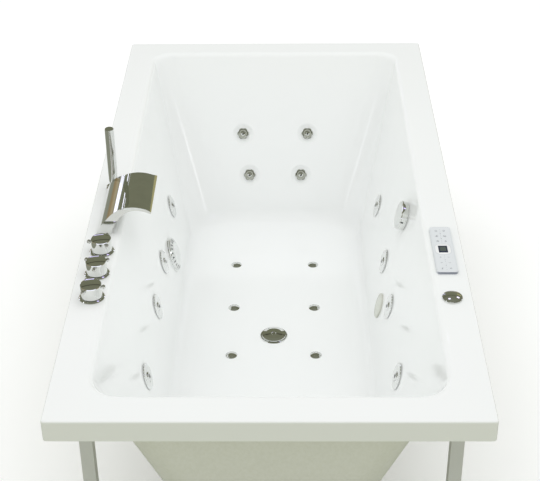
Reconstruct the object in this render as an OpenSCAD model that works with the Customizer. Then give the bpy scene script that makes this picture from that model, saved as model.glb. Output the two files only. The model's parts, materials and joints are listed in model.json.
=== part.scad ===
// Jetted bathtub for one bather: an acrylic drop-in shell on a welded frame, with water jets in the
// side walls and the backrest, air injectors in the floor, deck taps, and its pump and blower below.
// Origin: on the ground under the middle of the rim. +X is to the bather's left as they look to the foot
// end, +Y points to the head end, +Z is up. Lengths are in millimetres.

/* [Rim] */
// Overall length of the rim
rim_length = 1800; // [1760:5:1900]
// Overall width of the rim
rim_width = 900; // [880:5:960]
// Height of the deck above the ground
deck_height = 600; // [580:5:640]
// Depth of the lip that hangs below the deck
lip_drop = 50; // [35:1:70]
// Radius of the rim's upright corners
rim_corner_r = 8; // [5:1:14]
// Radius of the edge between deck and lip
rim_edge_r = 4; // [2:0.5:5]
// Thickness of the reinforced acrylic shell
shell_wall = 6; // [5:0.5:7]

/* [Basin] */
// Deck between each side of the rim and the opening
side_deck = 82; // [78:1:92]
// How far a side wall leans in on its way down to the floor
side_run = 118; // [108:1:128]
// Depth of the basin below the deck
basin_depth = 420; // [410:1:430]
// Deck between the rim's foot end and the opening
foot_deck = 83; // [70:1:100]
// Deck between the rim's head end and the opening
head_deck = 80; // [66:1:90]
// How far the foot wall leans in on its way down to the floor
foot_run = 112; // [90:1:130]
// How far the backrest leans in on its way down to the floor
head_run = 280; // [260:1:295]
// Corner radius of the opening at the foot end
foot_corner_r = 65; // [45:1:85]
// Corner radius of the opening at the head end
head_corner_r = 50; // [35:1:70]
// Corner radius of the floor
floor_corner_r = 130; // [110:1:150]
// Length of the rounding between deck and walls
edge_round = 14; // [10:1:18]
// Length of the rounding between walls and floor
floor_round = 38; // [30:1:44]

/* [Side jets] */
// Places of the side jets along the tub
side_jet_y = [-443, -160, 46, 334]; // [-480:1:380]
// Depth of the side jets below the deck
side_jet_drop = 255; // [251:1:257]
// Outer radius of a side jet's face ring
side_ring_r = 32.5; // [32:0.5:36]
// Height of a side jet's face ring above the wall
side_ring_h = 4.75; // [4.5:0.25:7]
// Radius of the hole through the wall for a side jet
side_bore_r = 25; // [24:0.5:27]
// Radius of a side jet's ball nozzle
side_ball_r = 13.5; // [13:0.1:14]
// Radius of the water way through a side jet's ball nozzle
side_outlet_r = 5; // [4:0.1:6]

/* [Back jets] */
// Distance of the upper back jets from the middle
back_upper_x = 99; // [92:1:115]
// Depth of the upper back jets below the deck
back_upper_drop = 205; // [190:1:215]
// Distance of the lower back jets from the middle
back_lower_x = 79; // [72:1:90]
// Depth of the lower back jets below the deck
back_lower_drop = 311; // [300:1:320]
// Outer radius of a back jet's lobed rosette
back_rosette_r = 18; // [17:0.5:20]
// Height of a back jet's rosette above the backrest
back_rosette_h = 6; // [5:0.5:8]
// Radius of the dimple in the backrest round a back jet
dimple_r = 32; // [29:0.5:34]
// Depth of the dimple in the backrest round a back jet
dimple_depth = 2.4; // [1.5:0.1:3]
// Radius of the hole through the backrest for a back jet
back_bore_r = 12; // [11.5:0.5:13]
// Radius of a back jet's spinning nozzle
back_nozzle_r = 8; // [7.5:0.1:8.2]

/* [Floor air jets] */
// Distance of the air injectors from the middle
injector_x = 111; // [100:1:125]
// Place of the middle pair of air injectors along the tub
injector_mid_y = 63; // [50:1:80]
// Distance between air injectors along the tub
injector_pitch = 213; // [200:1:220]
// Radius of an air injector's cap
injector_cap_r = 15; // [14:0.5:18]
// Height of the dome on an air injector's cap
injector_dome = 4; // [3:0.5:5]
// Radius of the hole through the floor for an air injector
injector_bore_r = 10; // [9:0.5:11]

/* [Suction] */
// Place of the suction fitting along the tub
suction_y = 158; // [150:1:170]
// Depth of the suction fitting below the deck
suction_drop = 305; // [303:1:310]
// Radius of the suction cover's rim
suction_cover_r = 48.5; // [46.5:0.5:54]
// Height of the suction cover above the wall
suction_cover_h = 13; // [12:0.5:18]
// Radius of the hole through the wall for the suction fitting
suction_bore_r = 28; // [26:1:30]

/* [Light] */
// Place of the light along the tub
light_y = -70; // [-76:1:-60]
// Depth of the light below the deck
light_drop = 317; // [310:1:325]
// Radius of the light's bezel
light_bezel_r = 33; // [32.5:0.5:38]
// Radius of the light's lens
light_lens_r = 30; // [29:0.5:31]
// Radius of the hole through the wall for the light
light_bore_r = 26; // [24:0.5:28]

/* [Overflow and drain] */
// Place of the overflow along the tub
overflow_y = 8; // [0:1:16]
// Depth of the overflow below the deck
overflow_drop = 89; // [84:1:98]
// Radius of the overflow's turning cap
overflow_cap_r = 37.5; // [35:0.5:40]
// Length of the overflow's turning cap
overflow_cap_h = 17; // [15:1:24]
// Radius of the hole through the wall for the overflow
overflow_bore_r = 26; // [24:0.5:28]
// Place of the drain along the tub
drain_y = -64; // [-75:1:-50]
// Radius of the drain's flange
drain_flange_r = 36.5; // [34:0.5:40]
// Radius of the hole through the floor for the drain
drain_bore_r = 26; // [25:0.5:27]
// Radius of the drain plug
drain_plug_r = 32; // [30:0.5:33]
// Radius of the waste pipes
waste_pipe_r = 20; // [18:0.5:21]

/* [Deck taps] */
// Distance of the taps from the rim's side
tap_inset = 49; // [46:1:52]
// Place of the tap nearest the foot end
tap_first_y = -477.5; // [-495:0.5:-470]
// Distance between taps
tap_pitch = 94; // [90:0.5:98]
// Radius of a tap knob
knob_r = 24; // [22:0.5:25]
// Height of a tap knob's top above the deck
knob_top = 37.5; // [36:0.5:44]
// Height of the dome on a tap knob's top
knob_dome = 1.6; // [0.8:0.1:2.4]
// Radius of a tap's flange
tap_flange_r = 29.5; // [28:0.5:30]
// Height of a tap's flange
tap_flange_h = 5; // [4.5:0.5:7]
// Radius of a tap spindle
spindle_r = 6; // [5:0.5:7]
// Radius of the ball on a knob's pin
pin_ball_r = 5; // [4:0.1:5.4]
// Height of a knob's pins above the deck
pin_height = 29; // [24:0.5:29.5]
// Direction of the first pin of each knob, from the foot end on
pin_angles = [118, 28, 66]; // [0:1:119]
// Radius of a tap's threaded inlet
inlet_r = 10.5; // [9:0.5:12]

/* [Spout] */
// Place of the spout's middle along the tub
spout_y = -115; // [-120:1:-105]
// Width of the waterfall sheet
spout_width = 170; // [150:1:180]
// Extra width of the spout's foot at each end
spout_foot_extra = 16; // [10:1:20]
// Distance of the spout's back from the rim's side
spout_inset = 26; // [22:1:30]
// Distance from the spout's back to its lip
spout_reach = 134.5; // [124:0.5:145]
// Height of the spout's lip above the deck
spout_lip_z = 54; // [48:1:60]
// Thickness of the spout's foot across the deck
spout_foot_t = 38; // [34:1:42]

/* [Hand shower] */
// Distance of the hand shower from the rim's side
wand_inset = 44; // [40:1:48]
// Place of the hand shower along the tub
wand_y = 7; // [5:1:14]
// Radius of the hand shower
wand_r = 11.3; // [10:0.1:12]
// Height of the hand shower's top above the deck
wand_top = 170; // [150:1:200]
// Radius of the holder's flange
holder_flange_r = 20; // [18:0.5:20.5]

/* [Control panel] */
// Distance of the panel and the air control from the rim's side
panel_inset = 46.5; // [44:0.5:50]
// Place of the panel's middle along the tub
panel_y = -291.5; // [-300:0.5:-280]
// Width of the panel
panel_width = 50; // [46:1:54]
// Length of the panel
panel_length = 194; // [180:1:210]
// Height of the panel above the deck
panel_h = 6; // [5:0.5:9]
// Corner radius of the panel
panel_corner_r = 8; // [5:0.5:12]
// Place of the air control along the tub
air_control_y = -483.5; // [-490:0.5:-465]
// Radius of the air control knob
air_knob_r = 23; // [21:0.5:25]
// Height of the air control knob above its collar
air_knob_h = 6; // [6:0.5:12]
// Height of the dome on the air control knob
air_knob_dome = 4.5; // [3:0.5:5]

/* [Frame] */
// Outer size of the square tubes
tube = 30; // [25:1:32]
// Wall of the square tubes
tube_wall = 2; // [1.5:0.1:3]
// Distance of the long rails from the floor's sides
rail_inset = 50; // [45:1:60]
// Distance of the foot end's cross bar from the rim's end
foot_bar_inset = 280; // [250:1:320]
// Place of the middle cross bar along the tub
middle_bar_y = 120; // [100:1:128]
// Distance of the head end's cross bar from the rim's end
head_bar_inset = 70; // [60:1:76]
// Distance of the posts from the rim's sides
post_inset = 30; // [26:1:34]
// Thickness of the board under the floor
board_t = 16; // [12:1:18]
// Radius of a foot's threaded rod
foot_rod_r = 6; // [5:0.5:8]
// Radius of a foot's pad
foot_pad_r = 25; // [20:1:30]

/* [Equipment] */
// Distance of the pump's shaft from the rim's head end
pump_inset = 140; // [135:1:145]
// Radius of the pump's volute
volute_r = 72; // [68:1:74]
// Radius of the pump motor
motor_r = 66; // [60:1:68]
// Length of the pump motor
motor_length = 210; // [200:1:220]
// Radius of the blower
blower_r = 72; // [68:1:74]
// Height of the blower
blower_h = 150; // [140:1:160]
// Radius of the water manifold
water_pipe_r = 16; // [14:0.5:17]
// Radius of the air lines
air_pipe_r = 9; // [8:0.5:10]
// Radius of the suction pipe
suction_pipe_r = 25; // [22:0.5:26]

/* [Hidden] */
$fn = 48;

SIDE_NOZZLES = [for (i = [1:8]) str("side_jet_nozzle_", i)];
BACK_NOZZLES = [for (i = [1:4]) str("back_jet_nozzle_", i)];
TAP_KNOBS = ["hot_knob", "diverter_knob", "cold_knob"];

// Small gap between pieces of one body, gap at moving faces, and radial clearance of a running fit
seat = 0.2;
gap = 0.4;
run = 0.06;
// Overshoot of a cut past the face that it opens
over = 1;

// Widths of the basin, and places that follow the rim
opening_width = rim_width - 2 * side_deck;
floor_width = opening_width - 2 * side_run;
tap_x = rim_width / 2 - tap_inset;
spout_back_x = rim_width / 2 - spout_inset;
wand_x = rim_width / 2 - wand_inset;
panel_x = rim_width / 2 - panel_inset;
rail_x = floor_width / 2 - rail_inset;
post_x = rim_width / 2 - post_inset;
cross_y = [foot_bar_inset - rim_length / 2, middle_bar_y, rim_length / 2 - head_bar_inset];
pump_y = rim_length / 2 - pump_inset;

// The basin's planes
floor_z = deck_height - basin_depth;
opening_foot = foot_deck - rim_length / 2;
opening_head = rim_length / 2 - head_deck;
floor_foot = opening_foot + foot_run;
floor_head = opening_head - head_run;
side_lean = atan((opening_width - floor_width) / 2 / basin_depth);
foot_lean = atan(foot_run / basin_depth);
head_lean = atan(head_run / basin_depth);

// Half width of the basin and place of the backrest at a height
function side_x(z) = floor_width / 2 + (z - floor_z) * tan(side_lean);
function head_y(z) = floor_head + (z - floor_z) * tan(head_lean);

// Heights below the floor, from the board down to the ground
board_z = floor_z - shell_wall - board_t;
rail_z = board_z - tube;
cross_z = rail_z - tube - seat;

// Colours
ACRYLIC = "#f4f6f5";
CHROME = "#b9bdbb";
PVC = "#e3e6e4";
STEEL = "#d9dcdb";
BRASS = "#c8a24a";
DARK = "#3c4046";

// ---------------------------------------------------------------------------------------------------
// Placing: children are drawn with their own +Z out of the surface and z = 0 on it

module on_side_wall(side, y, drop) {
    z = deck_height - drop;
    mirror([side < 0 ? 1 : 0, 0, 0])
        translate([side_x(z), y, z]) rotate([0, side_lean - 90, 0]) children();
}

module on_backrest(x, drop) {
    z = deck_height - drop;
    translate([x, head_y(z), z]) rotate([90 - head_lean, 0, 0]) children();
}

module on_floor(x, y) {
    translate([x, y, floor_z]) children();
}

module on_deck(x, y) {
    translate([x, y, deck_height]) children();
}

// Side jets 1 to 4 are on the left as seen from the foot end, 5 to 8 on the right
module at_side_jet(i) {
    on_side_wall(i < 4 ? -1 : 1, side_jet_y[i % 4], side_jet_drop) children();
}

// Back jets 1 and 2 are the upper pair, 3 and 4 the lower pair
module at_back_jet(i) {
    x = i < 2 ? back_upper_x : back_lower_x;
    on_backrest(i % 2 == 0 ? -x : x, i < 2 ? back_upper_drop : back_lower_drop)
        translate([0, 0, -dimple_depth]) children();
}

module at_injectors() {
    for (x = [-injector_x, injector_x], i = [-1:1])
        on_floor(x, injector_mid_y + i * injector_pitch) children();
}

module at_tap(i) {
    on_deck(-tap_x, tap_first_y + i * tap_pitch) children();
}

module at_posts() {
    for (side = [-1, 1], y = cross_y) translate([side * post_x, y, 0]) children();
}

// ---------------------------------------------------------------------------------------------------
// Shared shapes

// Solid of revolution from points [radius, height]
module turned(points) {
    rotate_extrude() polygon(points);
}

// Points of a shallow dome from its edge at [r, z] to its middle
// Slice of a ball, rising from a round foot at the origin
module dome(r, rise) {
    ball = (r * r + rise * rise) / 2 / rise;
    intersection() {
        translate([0, 0, rise - ball]) sphere(r = ball, $fn = 360);
        translate([0, 0, -over]) cylinder(r = r, h = rise + 2 * over);
    }
}

module hex_nut(flat_r, bore_r, h) {
    difference() {
        cylinder(r = flat_r / cos(30), h = h, $fn = 6);
        translate([0, 0, -over]) cylinder(r = bore_r, h = h + 2 * over);
    }
}

function unit(v) = v / norm(v);

module rod(a, b, r) {
    v = b - a;
    translate(a) rotate([0, acos(v[2] / norm(v)), atan2(v[1], v[0])]) cylinder(r = r, h = norm(v));
}

// Arc of round pipe that turns from the line a-b into the line b-c
module elbow(a, b, c, r, bend) {
    u = unit(a - b);
    v = unit(c - b);
    half = acos(u * v) / 2;
    centre = b + unit(u + v) * bend / sin(half);
    x = unit(b + u * bend / tan(half) - centre);
    z = cross(x, -u);
    multmatrix([
        [x[0], -u[0], z[0], centre[0]],
        [x[1], -u[1], z[1], centre[1]],
        [x[2], -u[2], z[2], centre[2]]
    ]) rotate_extrude(angle = 180 - 2 * half) translate([bend, 0]) circle(r = r);
}

function collar_radius(r) = r * 1.1 + 0.8;

// Ball where two lengths of pipe meet at a slight angle
module knee(at, r) {
    translate(at) sphere(r = collar_radius(r));
}

// Round pipe through points, with a bend at each inner point and a collar at each end of a bend
module pipe(points, r, bend) {
    last = len(points) - 1;
    collar = bend * 0.2;
    collar_r = collar_radius(r);
    cut = [
        for (i = [0:last])
            i == 0 || i == last ? 0
            : bend / tan(acos(unit(points[i - 1] - points[i]) * unit(points[i + 1] - points[i])) / 2)
    ];
    for (i = [0:last - 1]) {
        dir = unit(points[i + 1] - points[i]);
        from = points[i] + dir * cut[i];
        to = points[i + 1] - dir * cut[i + 1];
        rod(from, to, r);
        if (i > 0) rod(from - dir * collar, from + dir * collar, collar_r);
        if (i < last - 1) rod(to - dir * collar, to + dir * collar, collar_r);
    }
    for (i = [1:1:last - 1]) elbow(points[i - 1], points[i], points[i + 1], r, bend);
}

// ---------------------------------------------------------------------------------------------------
// Shell: rings of one rounded outline each, from under the floor, round the lip and back to the floor

CORNER_STEPS = 8;
ROUND_STEPS = 6;
ring_points = 4 * (CORNER_STEPS + 1);
// Share of the wall that a rounding's length gains on its outer side
round_gain = 0.7;

// Rounded rectangle from x = -half to half and y0 to y1, with its corner radii at y0 and y1
function outline(half, y0, y1, r0, r1) = [
    for (q = [0:3], i = [0:CORNER_STEPS])
        let (r = q < 2 ? r1 : r0,
             a = 90 * (q + i / CORNER_STEPS),
             cx = (q == 0 || q == 3 ? 1 : -1) * (half - r),
             cy = q < 2 ? y1 - r : y0 + r)
            [cx + r * cos(a), cy + r * sin(a)]
];

function rim_outline(inset) =
    let (r = max(rim_corner_r - inset, 1), half_l = rim_length / 2 - inset)
        outline(rim_width / 2 - inset, -half_l, half_l, r, r);

// Opening and floor outlines, moved out by side, foot and head distances
function opening_outline(side, foot, head) = outline(
    opening_width / 2 + side, opening_foot - foot, opening_head + head,
    foot_corner_r + side, head_corner_r + side);

function floor_outline(side, foot, head) = outline(
    floor_width / 2 + side, floor_foot - foot, floor_head + head,
    floor_corner_r + side, floor_corner_r + side);

function lift(points, z) = [for (p = points) [p[0], p[1], z]];

// One of the rings of a quadratic curve from ring a by way of ring b to ring c
function curve_ring(a, b, c, t) = [
    for (j = [0:ring_points - 1])
        (1 - t) * (1 - t) * a[j] + 2 * t * (1 - t) * b[j] + t * t * c[j]
];

// Ring on the straight wall between rings a and b, at a distance from a
function along_ring(a, b, distance) = [
    for (j = [0:ring_points - 1]) a[j] + unit(b[j] - a[j]) * distance
];

function rounding(a, b, c) = [for (i = [0:ROUND_STEPS]) curve_ring(a, b, c, i / ROUND_STEPS)];

// How far a wall's back line stands out from its front line, seen in plan
function back_shift(lean) = shell_wall * (1 / cos(lean) - tan(lean));

module shell_body() {
    top = lift(opening_outline(0, 0, 0), deck_height);
    top_out = lift(opening_outline(edge_round, edge_round, edge_round), deck_height);
    base = lift(floor_outline(0, 0, 0), floor_z);
    base_in = lift(floor_outline(-floor_round, -floor_round, -floor_round), floor_z);

    side = back_shift(side_lean);
    foot = back_shift(foot_lean);
    head = back_shift(head_lean);
    under = deck_height - shell_wall;
    back_edge = edge_round - shell_wall * round_gain;
    back_floor = floor_round + shell_wall * round_gain;
    back_top = lift(opening_outline(side, foot, head), under);
    back_top_out = lift(opening_outline(side + back_edge, foot + back_edge, head + back_edge), under);
    back_base = lift(floor_outline(side, foot, head), floor_z - shell_wall);
    back_base_in = lift(
        floor_outline(side - back_floor, foot - back_floor, head - back_floor), floor_z - shell_wall);

    lip_z = deck_height - lip_drop;
    edge_z = deck_height - rim_edge_r;
    rings = concat(
        rounding(back_base_in, back_base, along_ring(back_base, back_top, back_floor)),
        rounding(along_ring(back_top, back_base, back_edge), back_top, back_top_out),
        [
            lift(rim_outline(shell_wall), under),
            lift(rim_outline(shell_wall), lip_z),
            lift(rim_outline(0), lip_z)
        ],
        [
            for (i = [0:3])
                let (a = 30 * i)
                    lift(rim_outline(rim_edge_r * (1 - cos(a))), edge_z + rim_edge_r * sin(a))
        ],
        rounding(top_out, top, along_ring(top, base, edge_round)),
        rounding(along_ring(base, top, floor_round), base, base_in)
    );
    n = ring_points;
    last = (len(rings) - 1) * n;
    polyhedron(
        points = [for (ring = rings, p = ring) p],
        faces = concat(
            [[for (j = [0:n - 1]) j]],
            [[for (j = [n - 1:-1:0]) last + j]],
            [
                for (k = [0:len(rings) - 2], j = [0:n - 1])
                    let (a = k * n + j, b = k * n + (j + 1) % n) [a, a + n, b]
            ],
            [
                for (k = [0:len(rings) - 2], j = [0:n - 1])
                    let (a = k * n + j, b = k * n + (j + 1) % n) [b, a + n, b + n]
            ]
        )
    );
}

// Run of a dimple's side for each millimetre of its depth
dimple_slope = 4;

module wall_hole(r) {
    translate([0, 0, -shell_wall - 10]) cylinder(r = r, h = shell_wall + 20);
}

module tub_shell() {
    color(ACRYLIC) difference() {
        shell_body();
        for (i = [0:7]) at_side_jet(i) wall_hole(side_bore_r);
        for (i = [0:3]) at_back_jet(i) {
            wall_hole(back_bore_r);
            turned([
                [0, 0], [dimple_r - dimple_slope * dimple_depth, 0],
                [dimple_r + dimple_slope, dimple_depth + 1], [0, dimple_depth + 1]
            ]);
        }
        at_injectors() wall_hole(injector_bore_r);
        for (i = [0:2]) at_tap(i) wall_hole(tap_bore_r);
        on_side_wall(-1, suction_y, suction_drop) wall_hole(suction_bore_r);
        on_side_wall(1, light_y, light_drop) wall_hole(light_bore_r);
        on_side_wall(1, overflow_y, overflow_drop) wall_hole(overflow_bore_r);
        on_floor(0, drain_y) wall_hole(drain_bore_r);
        on_deck(-spout_shank_x, spout_y) wall_hole(spout_shank_r + 1);
        on_deck(-wand_x, wand_y) wall_hole(holder_neck_r + 0.5);
        on_deck(panel_x, air_control_y) wall_hole(air_neck_r + 0.5);
        on_deck(panel_x, panel_y)
            cube([panel_box_w + 1, panel_box_l + 1, 2 * shell_wall + 10], center = true);
    }
}

// ---------------------------------------------------------------------------------------------------
// Frame and board

board_margin = 48;

module floor_board() {
    length = floor_head - floor_foot - 2 * board_margin;
    color("#d8c7a4") difference() {
        translate([-floor_width / 2 + board_margin, floor_foot + board_margin, board_z])
            cube([floor_width - 2 * board_margin, length, board_t]);
        at_injectors() translate([0, 0, -shell_wall - board_t - over])
            cylinder(r = injector_bore_r + 12, h = board_t + 2 * over);
        on_floor(0, drain_y) translate([0, 0, -shell_wall - board_t - over])
            cylinder(r = drain_cup_r + 10, h = board_t + 2 * over);
    }
}

// Square tube of a length along its own +Z, centred on its axis
module box_tube(length) {
    difference() {
        translate([-tube / 2, -tube / 2, 0]) cube([tube, tube, length]);
        translate([tube_wall - tube / 2, tube_wall - tube / 2, -over])
            cube([tube - 2 * tube_wall, tube - 2 * tube_wall, length + 2 * over]);
    }
}

rail_start = cross_y[0] - 60;
rail_end = cross_y[2] + tube / 2;
post_cap_t = 5;

module support_frame() {
    post_h = deck_height - shell_wall - cross_z - post_cap_t;
    color(STEEL) {
        for (x = [-rail_x, rail_x])
            translate([x, rail_start, rail_z + tube / 2]) rotate([-90, 0, 0])
                box_tube(rail_end - rail_start);
        for (y = cross_y)
            translate([tube / 2 + seat - post_x, y, cross_z + tube / 2]) rotate([0, 90, 0])
                box_tube(2 * (post_x - seat) - tube);
        at_posts() translate([0, 0, cross_z]) {
            box_tube(post_h);
            translate([-tube / 2, -tube / 2, post_h]) cube([tube, tube, post_cap_t]);
            difference() {
                translate([-tube / 2, -tube / 2, 0]) cube([tube, tube, foot_bush_h]);
                translate([0, 0, -over]) cylinder(r = foot_rod_r + seat, h = foot_bush_h + 2 * over);
            }
        }
    }
}

foot_bush_h = 12;
foot_pad_h = 10;
foot_nut_h = 8;

module levelling_feet() {
    color(CHROME) at_posts() {
        turned([
            [0, 0], [foot_pad_r, 0], [foot_pad_r, foot_pad_h * 0.5], [foot_rod_r * 2, foot_pad_h * 1.6],
            [0, foot_pad_h * 1.6]
        ]);
        cylinder(r = foot_rod_r, h = cross_z + foot_bush_h + 8);
    }
}

module foot_lock_nuts() {
    color(CHROME) at_posts() translate([0, 0, cross_z - foot_nut_h])
        hex_nut(foot_rod_r * 1.6, foot_rod_r + seat, foot_nut_h);
}

tray_t = 4;
tray_z = rail_z + tube;
tray_before_pump = 100;
tray_start = pump_y - tray_before_pump;

// Runs from beside the pump to the posts at the blower
module equipment_tray() {
    left = pump_x0 - 28;
    right = post_x - tube / 2 - over;
    color(STEEL) translate([left, tray_start, tray_z])
        cube([right - left, rail_end - tray_start, tray_t]);
}

// ---------------------------------------------------------------------------------------------------
// Side jets: a housing through the wall, a nut behind it, a face ring in front and a ball nozzle

jet_flange_t = 1.5;
side_flange_r = side_ring_r - 4;
side_neck_r = side_bore_r - 0.4;
side_stem_r = side_ball_r + 5;
side_socket_r = side_ball_r + 0.3;
side_stem = 15;
// Depths behind the wall's front face, to the nut, the chamber and the pipe centres
side_nut_h = 9;
side_chamber_top = -shell_wall - side_nut_h - 1;
side_pipe_z = side_chamber_top - water_pipe_r - 3;
side_bottom = side_pipe_z - water_pipe_r - 3;
side_ball_z = -3;

module side_jet_housings() {
    color(PVC) for (i = [0:7]) at_side_jet(i) difference() {
        union() {
            cylinder(r = side_flange_r, h = jet_flange_t);
            translate([0, 0, side_bottom]) cylinder(r = side_neck_r, h = -side_bottom);
            translate([0, -side_stub, side_pipe_z]) rotate([-90, 0, 0])
                cylinder(r = water_pipe_r + 3, h = 2 * side_stub);
            translate([side_air_x, -side_stub, side_air_z]) rotate([-90, 0, 0])
                cylinder(r = air_pipe_r + 2, h = 2 * side_stub);
        }
        translate([0, 0, side_bottom + 6])
            cylinder(r = side_stem_r + seat, h = jet_flange_t - side_bottom);
    }
}

side_stub = 36;
side_air_x = side_neck_r + 4;
side_air_z = side_chamber_top - air_pipe_r - 4;

module side_jet_rings() {
    notch_r = 2.4;
    notches = 24;
    color(CHROME) for (i = [0:7]) at_side_jet(i) difference() {
        union() {
            intersection() {
                turned([
                    [0, jet_flange_t], [side_ring_r, jet_flange_t], [side_ring_r, side_ring_h - 2.2],
                    [side_ring_r - 1.5, side_ring_h - 1], [side_ring_r - 6, side_ring_h], [0, side_ring_h]
                ]);
                linear_extrude(side_ring_h + over) difference() {
                    circle(r = side_ring_r + over);
                    for (k = [0:notches - 1]) rotate(360 / notches * k)
                        translate([side_ring_r + notch_r * 0.5, 0]) circle(r = notch_r);
                }
            }
            translate([0, 0, -side_stem]) cylinder(r = side_stem_r, h = side_stem + jet_flange_t);
        }
        turned([
            [0, side_ring_h - 2], [side_ring_r - 12, side_ring_h + 0.5], [side_ring_r - 12, side_ring_h + 9],
            [0, side_ring_h + 9]
        ]);
        translate([0, 0, side_ball_z]) sphere(r = side_socket_r);
        translate([0, 0, -20]) cylinder(r = side_socket_r, h = 20 + side_ball_z);
    }
}

module side_jet_nozzle(i) {
    flat = side_ball_r * 0.72;
    color(CHROME) at_side_jet(i) translate([0, 0, side_ball_z]) difference() {
        intersection() {
            sphere(r = side_ball_r);
            translate([0, 0, -flat]) cylinder(r = side_ball_r + over, h = 2 * flat);
        }
        translate([0, 0, -side_ball_r]) cylinder(r = side_outlet_r, h = 2 * side_ball_r);
    }
}

// ---------------------------------------------------------------------------------------------------
// Back jets: smaller, with a lobed rosette and a nozzle that spins in it

back_neck_r = back_bore_r - 0.3;
back_tail = -34;
back_nut_h = 7;
back_sleeve_r = back_nozzle_r + 1.6;
back_hole_tilt = 12;

module back_jet_housings() {
    color(PVC) for (i = [0:3]) at_back_jet(i) difference() {
        union() {
            cylinder(r = back_neck_r + 2, h = jet_flange_t);
            translate([0, 0, back_tail]) cylinder(r = back_neck_r, h = -back_tail);
            translate([0, 0, back_tail - 14]) cylinder(r = back_hose_r - 1, h = 15);
        }
        translate([0, 0, back_tail + 4]) cylinder(r = back_sleeve_r + seat, h = 60);
    }
}

module back_jet_rosettes() {
    lobe_r = back_rosette_r * 0.36;
    top = jet_flange_t + back_rosette_h;
    color(CHROME) for (i = [0:3]) at_back_jet(i) difference() {
        union() {
            intersection() {
                turned([
                    [0, jet_flange_t], [back_rosette_r, jet_flange_t], [back_rosette_r, jet_flange_t + 1.5],
                    [back_rosette_r - 3, top - 1], [back_rosette_r - 6, top], [0, top]
                ]);
                linear_extrude(top + over) union() {
                    circle(r = back_rosette_r - lobe_r * 0.5);
                    for (k = [0:5]) rotate(60 * k)
                        translate([back_rosette_r - lobe_r, 0]) circle(r = lobe_r);
                }
            }
            translate([0, 0, -16]) cylinder(r = back_sleeve_r, h = 16 + jet_flange_t);
        }
        translate([0, 0, -30]) cylinder(r = back_nozzle_r + run, h = 60);
    }
}

module back_jet_nozzle(i) {
    top = jet_flange_t + back_rosette_h;
    color(CHROME) at_back_jet(i) difference() {
        turned([
            [0, -19.5], [back_nozzle_r + 1, -19.5], [back_nozzle_r + 1, -16 - gap],
            [back_nozzle_r, -16 - gap], [back_nozzle_r, top], [back_nozzle_r - 1, top + 1.5],
            [back_nozzle_r - 4, top + 2.6], [0, top + 3]
        ]);
        rotate([back_hole_tilt, 0, 0]) translate([0, 0, -40]) cylinder(r = 2.6, h = 80);
    }
}

module jet_nuts() {
    color("#f2f2ee") {
        for (i = [0:7]) at_side_jet(i) translate([0, 0, -shell_wall - side_nut_h])
            hex_nut(side_bore_r + 8, side_neck_r + seat, side_nut_h);
        for (i = [0:3]) at_back_jet(i) translate([0, 0, dimple_depth - shell_wall - back_nut_h])
            hex_nut(back_bore_r + 5, back_neck_r + seat, back_nut_h);
    }
}

// ---------------------------------------------------------------------------------------------------
// Floor air injectors

injector_neck_r = injector_bore_r - 0.3;
injector_pipe_z = -shell_wall - board_t - air_pipe_r - 1;
injector_rim_t = 1;

module air_injector_caps() {
    color(CHROME) at_injectors() difference() {
        union() {
            cylinder(r = injector_cap_r, h = injector_rim_t);
            translate([0, 0, injector_rim_t]) dome(injector_cap_r - 0.4, injector_dome);
        }
        for (k = [0:5]) rotate(60 * k) translate([injector_cap_r * 0.55, 0, -over])
            cylinder(r = 0.8, h = injector_rim_t + injector_dome + 2 * over);
    }
}

module air_injector_bodies() {
    color(PVC) at_injectors() {
        translate([0, 0, -shell_wall - 4]) cylinder(r = injector_neck_r, h = shell_wall + 4 - seat);
        translate([0, 0, -shell_wall - 4 - 3]) cylinder(r = injector_neck_r + 6, h = 4 + 3 - seat);
        translate([0, 0, injector_pipe_z]) cylinder(r = injector_neck_r + 1, h = -injector_pipe_z - 9);
        translate([0, -18, injector_pipe_z]) rotate([-90, 0, 0]) cylinder(r = air_pipe_r + 2, h = 36);
    }
}

// ---------------------------------------------------------------------------------------------------
// Suction fitting and light

suction_neck_r = suction_bore_r - 0.4;
suction_rim = 2.5;
suction_flange_r = suction_cover_r - suction_rim - 4;
suction_flange_t = 2;
// Angle by which the suction outlet dips from the tub's length
suction_dip = 25;
suction_pipe_depth = -shell_wall - suction_pipe_r - 14;
suction_stub = 44;

module suction_housing() {
    bottom = suction_pipe_depth - suction_pipe_r - 4;
    nut_h = 10;
    color(PVC) on_side_wall(-1, suction_y, suction_drop) difference() {
        union() {
            cylinder(r = suction_flange_r, h = suction_flange_t);
            translate([0, 0, -shell_wall - nut_h]) cylinder(r = suction_neck_r, h = shell_wall + nut_h);
            translate([0, 0, -shell_wall - nut_h]) cylinder(r = suction_neck_r + 8, h = nut_h - seat);
            translate([0, 0, bottom])
                cylinder(r = suction_neck_r + 4, h = -shell_wall - nut_h - bottom);
            translate([0, 0, suction_pipe_depth]) rotate([-90, 0, suction_dip])
                cylinder(r = suction_pipe_r, h = suction_stub);
        }
        translate([0, 0, -shell_wall - nut_h - 8]) cylinder(r = suction_neck_r - 4, h = 60);
    }
}

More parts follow.
